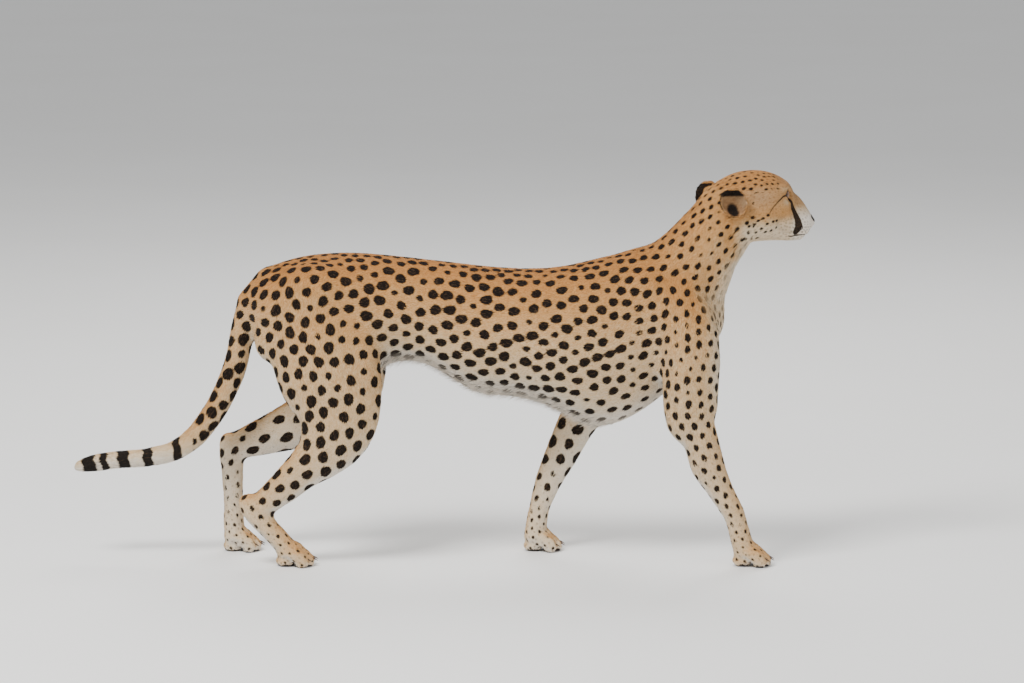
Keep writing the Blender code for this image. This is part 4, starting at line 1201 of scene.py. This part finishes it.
def grow(name, roots, normals, flat, directions, length, width, lift, droop=None, softness=0.6):
    """Builds tufts as one mesh. Lengths, widths and lifts are in metres, one for each tuft."""
    draw = np.random.default_rng(len(roots))
    count = len(roots)
    ahead = tangent(directions, normals)
    aside = np.cross(normals, ahead)
    swing = draw.normal(0, 0.14, count)[:, None]
    ahead = unit(ahead + aside * swing)
    aside = np.cross(normals, ahead)
    size = draw.uniform(0.75, 1.25, count)
    length, width = length * size, width * draw.uniform(0.75, 1.25, count)
    on_skin, facing = nearest_skin(roots + ahead * length[:, None])
    tip = on_skin + facing * (lift * draw.uniform(0.5, 1.5, count))[:, None]
    if droop is not None:
        tip[:, 2] -= droop * length
    low = roots - normals * (0.5 * MM)
    middle = roots + ahead * (0.40 * length)[:, None] + normals * (0.55 * lift)[:, None]
    middle = middle * 0.85 + (roots + tip) / 2 * 0.15
    ridge = middle + normals * (0.22 * width)[:, None]
    spread_out = aside * (width / 2)[:, None]
    corners = np.stack([low, middle - spread_out, middle + spread_out, ridge, tip], axis=1)
    faces = (np.arange(count)[:, None, None] * LEAF_CORNERS + LEAF).reshape(-1, 3)
    data = bpy.data.meshes.new(name)
    data.vertices.add(count * LEAF_CORNERS)
    data.vertices.foreach_set("co", corners.astype(np.float32).ravel())
    data.loops.add(len(faces) * 3)
    data.loops.foreach_set("vertex_index", faces.astype(np.int32).ravel())
    data.polygons.add(len(faces))
    data.polygons.foreach_set("loop_start", np.arange(0, len(faces) * 3, 3, dtype=np.int32))
    data.update(calc_edges=True)
    first, _, _ = markings(roots + ahead * (MARKED_FROM * length)[:, None], normals)
    last, _, _ = markings(roots + ahead * (MARKED_TO * length)[:, None], normals)
    share = np.array(LEAF_ALONG)
    values = {key: (first[key][:, None] * (1 - share) + last[key][:, None] * share).ravel() for key in first}
    values["across"] = np.tile(LEAF_ACROSS, count)
    values["along"] = np.tile(LEAF_ALONG, count)
    values["chance"] = np.repeat(draw.random(count), LEAF_CORNERS)
    made = bpy.data.objects.new(name, data)
    bpy.context.scene.collection.objects.link(made)
    put_values(made, values)
    unwrap = (np.clip(flat, 2 * PATCH, 1 - 2 * PATCH)[:, None, :] + PATCH_SHAPE).reshape(-1, 2)
    layer = data.uv_layers.new(name="OFBake")
    layer.uv.foreach_set("vector", unwrap[faces.ravel()].astype(np.float32).ravel())
    own = normals_of(made)
    soft = unit(own * (1 - softness) + np.repeat(normals, LEAF_CORNERS, axis=0) * softness)
    data.polygons.foreach_set("use_smooth", np.ones(len(faces), bool))
    data.normals_split_custom_set_from_vertices(soft.tolist())
    data.materials.append(fur)
    return made


print("a tuft has", len(LEAF), "faces")

# %% [markdown]
# The plan of the hair says how many tufts grow at a place and how large they are: smallest and closest on the
# face and the feet. Each piece of the coat is kept small enough to handle.

# %% Growing the coat
def hair_plan(points):
    """Tufts to a square metre, and their length, width and lift in metres."""
    _, growth, _ = guided(points)
    on, feet, ears = headness(points), footness(points), earness(points)
    half = folded(in_head(points))
    face = on * ramp(half[:, 0], 95, 150)
    length = growth[:, 1] * MM * LYING_LENGTH
    low = 1 - ramp(points[:, 2], 0.18, 0.30)
    width = (TUFT_WIDTH - 0.7 * on - 0.45 * face - 0.25 * feet - 0.35 * low) * MM
    lift = LIFT * length * (1 - 0.35 * on)
    density = TUFTS * (1 + 1.0 * on + 1.0 * face + 0.35 * feet + 0.3 * low)
    length = np.where(ears > 0.4, EAR_HAIR, length)
    return density, length, width, lift


def part_of(points):
    """The name of the coat piece that each place belongs to."""
    _, _, owner = guided(points)
    name = np.array(names)[owner].astype("<U20")
    x, _, z = points.T
    name[headness(points) > 0.4] = "head"
    name[(name == "head") & (in_head(points)[:, 0] > 0.125)] = "face"
    trunk = np.isin(name, ("trunk", "belly", "breast")) | (np.char.find(name, "leg") >= 0) & (z > 0.36)
    lengths = np.select([x > 0.38, x > 0.12, x > -0.14], ["chest", "ribs", "flank"], "haunch")
    name[trunk] = lengths[trunk]
    return name


density, _, _, _ = hair_plan(tri_middles)
bare_faces = bareness(tri_middles, crossed / np.maximum(2 * tri_areas, 1e-12)[:, None])
density = density * ~bare_faces / FEWER
roots, root_normals, root_flat = scattered(density * tri_areas, 21)
flow, _, _ = guided(roots)
_, lengths, widths, lifts = hair_plan(roots)
belongs = part_of(roots)
coat = []
for part in sorted(set(belongs)):
    chosen = belongs == part
    coat.append(
        grow(
            "coat_" + part,
            roots[chosen],
            root_normals[chosen],
            root_flat[chosen],
            flow[chosen],
            lengths[chosen],
            widths[chosen],
            lifts[chosen],
        )
    )
    print(coat[-1].name, len(coat[-1].data.polygons), "faces")

# %% [markdown]
# Longer locks hang where the coat is looser: under the belly, on throat, nape and elbows, inside the ears
# and round the tip of the tail.

# %% Fringes
LOCKS, EAR_LOCKS, RIM_LOCKS = 30_000, 60_000, 90_000  # to a square metre
LOCK_WIDTH = 2.0 * MM


def fringe_plan(points, normals):
    """Locks to a square metre, their length and lift in metres, and their droop."""
    x, y, z = points.T
    _, _, owner = guided(points)
    name = np.array(names)[owner]
    at = in_head(points)
    half = folded(at)
    ears = earness(points)
    trunk = np.isin(name, ("trunk", "belly", "breast"))
    belly = trunk * ramp(-normals[:, 2], 0.35, 0.75) * ramp(x, -0.22, -0.12) * (1 - ramp(x, 0.30, 0.42))
    throat = (name == "breast") * ramp(normals[:, 0], 0.2, 0.6)
    throat = throat + (name == "neck") * ramp(-normals[:, 2], 0.0, 0.5)
    nape = (name == "neck") * ramp(normals[:, 2], 0.35, 0.75)
    nape = nape + trunk * ramp(x, 0.33, 0.40) * ramp(normals[:, 2], 0.5, 0.9)
    elbow = (name == "foreleg_right") * ramp(-normals[:, 0], 0.3, 0.8)
    elbow = elbow * ramp(z, 0.26, 0.32) * (1 - ramp(z, 0.36, 0.42))
    tail = (name == "tail") * ramp(-x, 0.60, 0.72)
    cheek = headness(points) * (1 - ramp(half[:, 0], 50, 66)) * (half[:, 2] < 50) * ramp(half[:, 1], 20, 34)
    inner = (ears > 0.6) * ((normals @ OUT_OF_HEAD[:3, 1]) * np.sign(at[:, 1]) > 0.2) * (half[:, 0] > 12)
    from_cup = np.linalg.norm(half * [1, 0, 1] - CUP_MIDDLE, axis=1)
    rim = (ears > 0.5) * (half[:, 1] > 60) * (np.abs(from_cup - CUP_RADIUS) < 4) * (half[:, 0] > 15)
    amount = LOCKS * (belly + 0.5 * throat + 0.5 * nape + elbow + 1.2 * tail + 0.8 * cheek)
    amount = amount + EAR_LOCKS * inner + RIM_LOCKS * rim
    length = 21 * belly + 15 * throat + 13 * nape + 14 * elbow + 16 * tail + 14 * cheek + 11 * inner
    length = np.clip(length, 9, 21) * MM
    lift = (0.16 + 0.10 * (belly > 0.5)) * length
    droop = 0.35 * np.clip(belly + elbow, 0, 1)
    return amount, length, lift, droop


amount, _, _, _ = fringe_plan(tri_middles, crossed / np.maximum(2 * tri_areas, 1e-12)[:, None])
roots, root_normals, root_flat = scattered(amount * tri_areas / FEWER, 31)
flow, _, _ = guided(roots)
_, lengths, lifts, droops = fringe_plan(roots, root_normals)
widths = np.full(len(roots), LOCK_WIDTH)
coat.append(grow("coat_fringe", roots, root_normals, root_flat, flow, lengths, widths, lifts, droops))
print("coat_fringe", len(coat[-1].data.polygons), "faces")

# %% [markdown]
# The eyes are turned from spheres, with the clear front swelling forward a little. Where a corner lies round
# the line of sight is stored, so that the iris, its fibres and the round pupil can be drawn from it.

# %% Eyes
IRIS_RADIUS, PUPIL_RADIUS = 9.4, 3.8  # mm, round the ball
CORNEA_SWELL = 1.1 * MM


def new_eye(side):
    name = "eye_" + ("left" if side > 0 else "right")
    middle, axes = eye_frame(side)
    bpy.ops.mesh.primitive_uv_sphere_add(segments=64, ring_count=48, radius=EYE_RADIUS)
    eye = bpy.context.active_object
    eye.name = eye.data.name = name + "_ball"
    local = corners_of(eye)
    arc = np.arccos(np.clip(local[:, 2] / EYE_RADIUS, -1, 1)) * EYE_RADIUS / MM
    local = local * (1 + (CORNEA_SWELL / EYE_RADIUS) * (1 - ramp(arc, 0, IRIS_RADIUS + 1)))[:, None]
    turn = np.arctan2(local[:, 1], local[:, 0])
    put_corners(eye, moved(middle + local @ axes, OUT_OF_HEAD))
    put_values(eye, {"arc": arc, "ray_x": np.cos(turn) * arc, "ray_y": np.sin(turn) * arc})
    if np.linalg.det(axes) < 0:
        eye.data.flip_normals()
    for polygon in eye.data.polygons:
        polygon.use_smooth = True
    return eye


# Glass-clear eye: amber iris with fine fibres, round pupil, dark outer ring, wet bright surface.
eye_glass, tree, surface = new_material(
    "eye, wet cornea over amber iris", Roughness=0.05, IOR=1.38, Coat_Weight=1.0, Coat_Roughness=0.01
)
arc = stored(tree, "arc")
ray = add(tree, "CombineXYZ", {"X": stored(tree, "ray_x"), "Y": stored(tree, "ray_y"), "Z": 0.0}).outputs[0]
unit_ray = add(tree, "VectorMath", {0: ray}, operation="NORMALIZE").outputs[0]
fibres = add(tree, "TexNoise", {"Vector": unit_ray, "Scale": 9.0, "Detail": 4.0}).outputs["Fac"]
iris = stops(
    tree,
    times(tree, arc, 1 / IRIS_RADIUS),
    (
        (PUPIL_RADIUS / IRIS_RADIUS - 0.02, "#050404"),
        (PUPIL_RADIUS / IRIS_RADIUS + 0.03, "#6B3F12"),
        (0.62, "#99601C"),
        (0.88, "#6B3F14"),
        (1.00, "#1A0E08"),
    ),
)
iris = blended(tree, spread(tree, fibres, 0.35, 0.65, 0.0, 0.45), iris, colour("#4A2A10"), "MULTIPLY")
white = blended(tree, spread(tree, arc, IRIS_RADIUS, IRIS_RADIUS + 0.8), iris, colour("#1C120E"))
tree.links.new(white, surface.inputs["Base Color"])
eyes = [new_eye(1), new_eye(-1)]
for eye in eyes:
    eye.data.materials.append(eye_glass)
print("eyes", [len(eye.data.polygons) for eye in eyes])

# %% [markdown]
# A cheetah's claws stay out: blunt, dark and only slightly curved. Each is a cone bent downwards, set where
# a line from the front first meets the toe.

# %% Claws
CLAW_LENGTH, CLAW_RADIUS, CLAW_HEIGHT = 12 * MM, 2.7 * MM, 15 * MM

horn, tree, surface = new_material("claw horn, worn", Roughness=0.35, Specular_IOR_Level=0.5)
place = add(tree, "TexCoord").outputs["Object"]
grain = add(tree, "TexNoise", {"Vector": place, "Scale": 700.0, "Detail": 4.0}).outputs["Fac"]
tree.links.new(blended(tree, grain, colour("#2A1D15"), colour("#6B523D")), surface.inputs["Base Color"])
bump = add(tree, "Bump", {"Height": grain, "Strength": 0.3, "Distance": 0.0003})
tree.links.new(bump.outputs["Normal"], surface.inputs["Normal"])


def claw(at, turned_out):
    """A cone along +X from the place given, bent down towards its point."""
    bpy.ops.mesh.primitive_cone_add(vertices=10, radius1=CLAW_RADIUS, radius2=0.5 * MM, depth=CLAW_LENGTH)
    made = bpy.context.active_object
    bpy.ops.object.mode_set(mode="EDIT")
    bpy.ops.mesh.select_all(action="SELECT")
    bpy.ops.mesh.subdivide(number_cuts=3)
    bpy.ops.object.mode_set(mode="OBJECT")
    local = corners_of(made)
    ahead = (local[:, 2] + CLAW_LENGTH / 2) / CLAW_LENGTH
    x, y, z = local[:, 2] + 0.2 * CLAW_LENGTH, local[:, 1] * 0.75, local[:, 0]
    z = z + 1.6 * MM - 5.0 * MM * ahead**2
    cos, sin = math.cos(turned_out), math.sin(turned_out)
    placed = np.column_stack([x * cos - y * sin, x * sin + y * cos, z]) + at
    placed[:, 2] = np.maximum(placed[:, 2], 1.2 * MM)
    put_corners(made, placed)
    made.data.flip_normals()
    return made


claws = []
for x, y in FOOT_PLACES:
    for aside in TOE_ASIDE:
        start = Vector((x + 0.12, y + aside * MM, CLAW_HEIGHT))
        hit = skin_tree.ray_cast(start, Vector((-1, 0, 0)))[0]
        if hit is not None:
            claws.append(claw(np.array(hit), math.radians(0.35 * aside)))
drop_selection()
for item in claws:
    item.select_set(True)
bpy.context.view_layer.objects.active = claws[0]
bpy.ops.object.join()
claw_set = bpy.context.view_layer.objects.active
claw_set.name = claw_set.data.name = "claws"
bpy.ops.object.shade_smooth()
claw_set.data.materials.clear()
claw_set.data.materials.append(horn)
bpy.ops.object.mode_set(mode="EDIT")
bpy.ops.mesh.select_all(action="SELECT")
bpy.ops.mesh.normals_make_consistent(inside=False)
bpy.ops.object.mode_set(mode="OBJECT")
print(len(claws), "claws")

# %% [markdown]
# The whiskers are thin bowed rods, thinning to a point, that start at the dots on the upper lip.

# %% Whiskers
WHISKER_SIDES, WHISKER_STEPS = 4, 6
WHISKER_RADIUS = 0.28 * MM

bristle, tree, surface = new_material("whisker keratin, pale", Roughness=0.4, Specular_IOR_Level=0.5)
place = add(tree, "TexCoord").outputs["Object"]
grain = add(tree, "TexNoise", {"Vector": place, "Scale": 300.0}).outputs["Fac"]
tree.links.new(blended(tree, grain, colour("#F5F0E8"), colour("#CFC4B4")), surface.inputs["Base Color"])


def whisker(root, way, length, sag):
    """Corners and faces of one bowed rod."""
    steps = np.linspace(0, 1, WHISKER_STEPS)
    turn = np.linspace(0, math.tau, WHISKER_SIDES, endpoint=False)
    across = np.cross(way, (0, 0, 1.0))
    across /= np.linalg.norm(across)
    above = np.cross(across, way)
    corners = []
    for share in steps:
        middle = root + way * length * share - np.array((0, 0, sag)) * share**2
        size = WHISKER_RADIUS * (1 - 0.85 * share)
        corners += [middle + size * (math.cos(angle) * across + math.sin(angle) * above) for angle in turn]
    faces = []
    for step in range(WHISKER_STEPS - 1):
        for side in range(WHISKER_SIDES):
            first, second = step * WHISKER_SIDES + side, step * WHISKER_SIDES + (side + 1) % WHISKER_SIDES
            faces.append((first, second, second + WHISKER_SIDES, first + WHISKER_SIDES))
    last = (WHISKER_STEPS - 1) * WHISKER_SIDES
    faces.append(tuple(range(WHISKER_SIDES))[::-1])
    faces.append(tuple(range(last, last + WHISKER_SIDES)))
    return corners, faces


corners, faces = [], []
for side in (1, -1):
    for w, dots in WHISKER_ROWS:
        for u in dots:
            start = moved(np.array([[u, side * 60, w]]) * MM, OUT_OF_HEAD)[0]
            inward = -side * OUT_OF_HEAD[:3, 1]
            hit, facing, _, _ = skin_tree.ray_cast(Vector(start), Vector(inward))
            if hit is None or chance.random() < 0.25:
                continue
            way = OUT_OF_HEAD[:3, :3] @ np.array((-0.45, side * 1.0, 0.10 + 0.02 * (w - 26)))
            way = way / np.linalg.norm(way) + chance.normal(0, 0.06, 3)
            more, rods = whisker(np.array(hit) - way * MM, way, chance.uniform(34, 62) * MM, 14 * MM)
            faces += [tuple(index + len(corners) for index in rod) for rod in rods]
            corners += more
data = bpy.data.meshes.new("whiskers")
data.from_pydata([tuple(corner) for corner in corners], [], faces)
whiskers = bpy.data.objects.new("whiskers", data)
bpy.context.scene.collection.objects.link(whiskers)
data.materials.append(bristle)
only(whiskers)
bpy.ops.object.mode_set(mode="EDIT")
bpy.ops.mesh.select_all(action="SELECT")
bpy.ops.mesh.normals_make_consistent(inside=False)
bpy.ops.object.mode_set(mode="OBJECT")
bpy.ops.object.shade_smooth()
print("whiskers", len(data.polygons), "faces")

# %% [markdown]
# Every piece is tied to the one body: the skin covers all the flesh, and the new eyes take the place of the
# plain ones.

# %% Ties
flesh = [name for name in frame["nodes"] if not name.startswith("eye_")]
for piece in [skin, claw_set, whiskers] + coat + eyes:
    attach(piece, "root")
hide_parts(*flesh)
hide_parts("eye_left")
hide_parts("eye_right")
print(len(coat) + len(eyes) + 3, "pieces tied")

# %% [markdown]
# The stage is a wide pale floor, with no wall that could hide the back, under a broad soft light from above
# and two weaker ones.

# %% Stage, light and camera
FLOOR_SIZE = 90

bpy.ops.mesh.primitive_plane_add(size=FLOOR_SIZE)
floor = bpy.context.active_object
floor.name = "floor"
floor.data.transform(Matrix.Translation((0, 0, -0.5 * MM)))
backdrop, tree, surface = new_material("painted studio floor", Roughness=0.8)
place = add(tree, "TexCoord").outputs["Object"]
cloud = add(tree, "TexNoise", {"Vector": place, "Scale": 1.5, "Detail": 3.0}).outputs["Fac"]
tree.links.new(blended(tree, cloud, colour("#EDEBE7"), colour("#F2F1EE")), surface.inputs["Base Color"])
floor.data.materials.append(backdrop)

world = bpy.data.worlds.new("soft sky")
bpy.context.scene.world = world
world.use_nodes = True
world.node_tree.nodes["Background"].inputs["Color"].default_value = colour("#F2F4F7")
world.node_tree.nodes["Background"].inputs["Strength"].default_value = 0.64
for name, place, size, power in (
    ("key light", (-2.2, -2.4, 4.6), 1.8, 360),
    ("fill light", (3.4, -3.0, 2.0), 3.0, 55),
    ("rim light", (0.5, 3.0, 3.8), 2.4, 110),
):
    lamp = bpy.data.lights.new(name, "AREA")
    lamp.size, lamp.energy = size, power
    holder = bpy.data.objects.new(name, lamp)
    bpy.context.scene.collection.objects.link(holder)
    holder.location = place
    holder.rotation_euler = (Vector((0, 0, 0.4)) - holder.location).to_track_quat("-Z", "Y").to_euler()

AIM = Vector((0.1427, 0, 0.46))
ELEVATION, DISTANCE = math.radians(9.5), 9.0
lens = bpy.data.cameras.new("camera")
lens.sensor_width, lens.lens = 36, 151.875
camera = bpy.data.objects.new("camera", lens)
bpy.context.scene.collection.objects.link(camera)
camera.location = AIM + DISTANCE * Vector((0, -math.cos(ELEVATION), math.sin(ELEVATION)))
camera.rotation_euler = (math.pi / 2 - ELEVATION, 0, 0)
bpy.context.scene.camera = camera
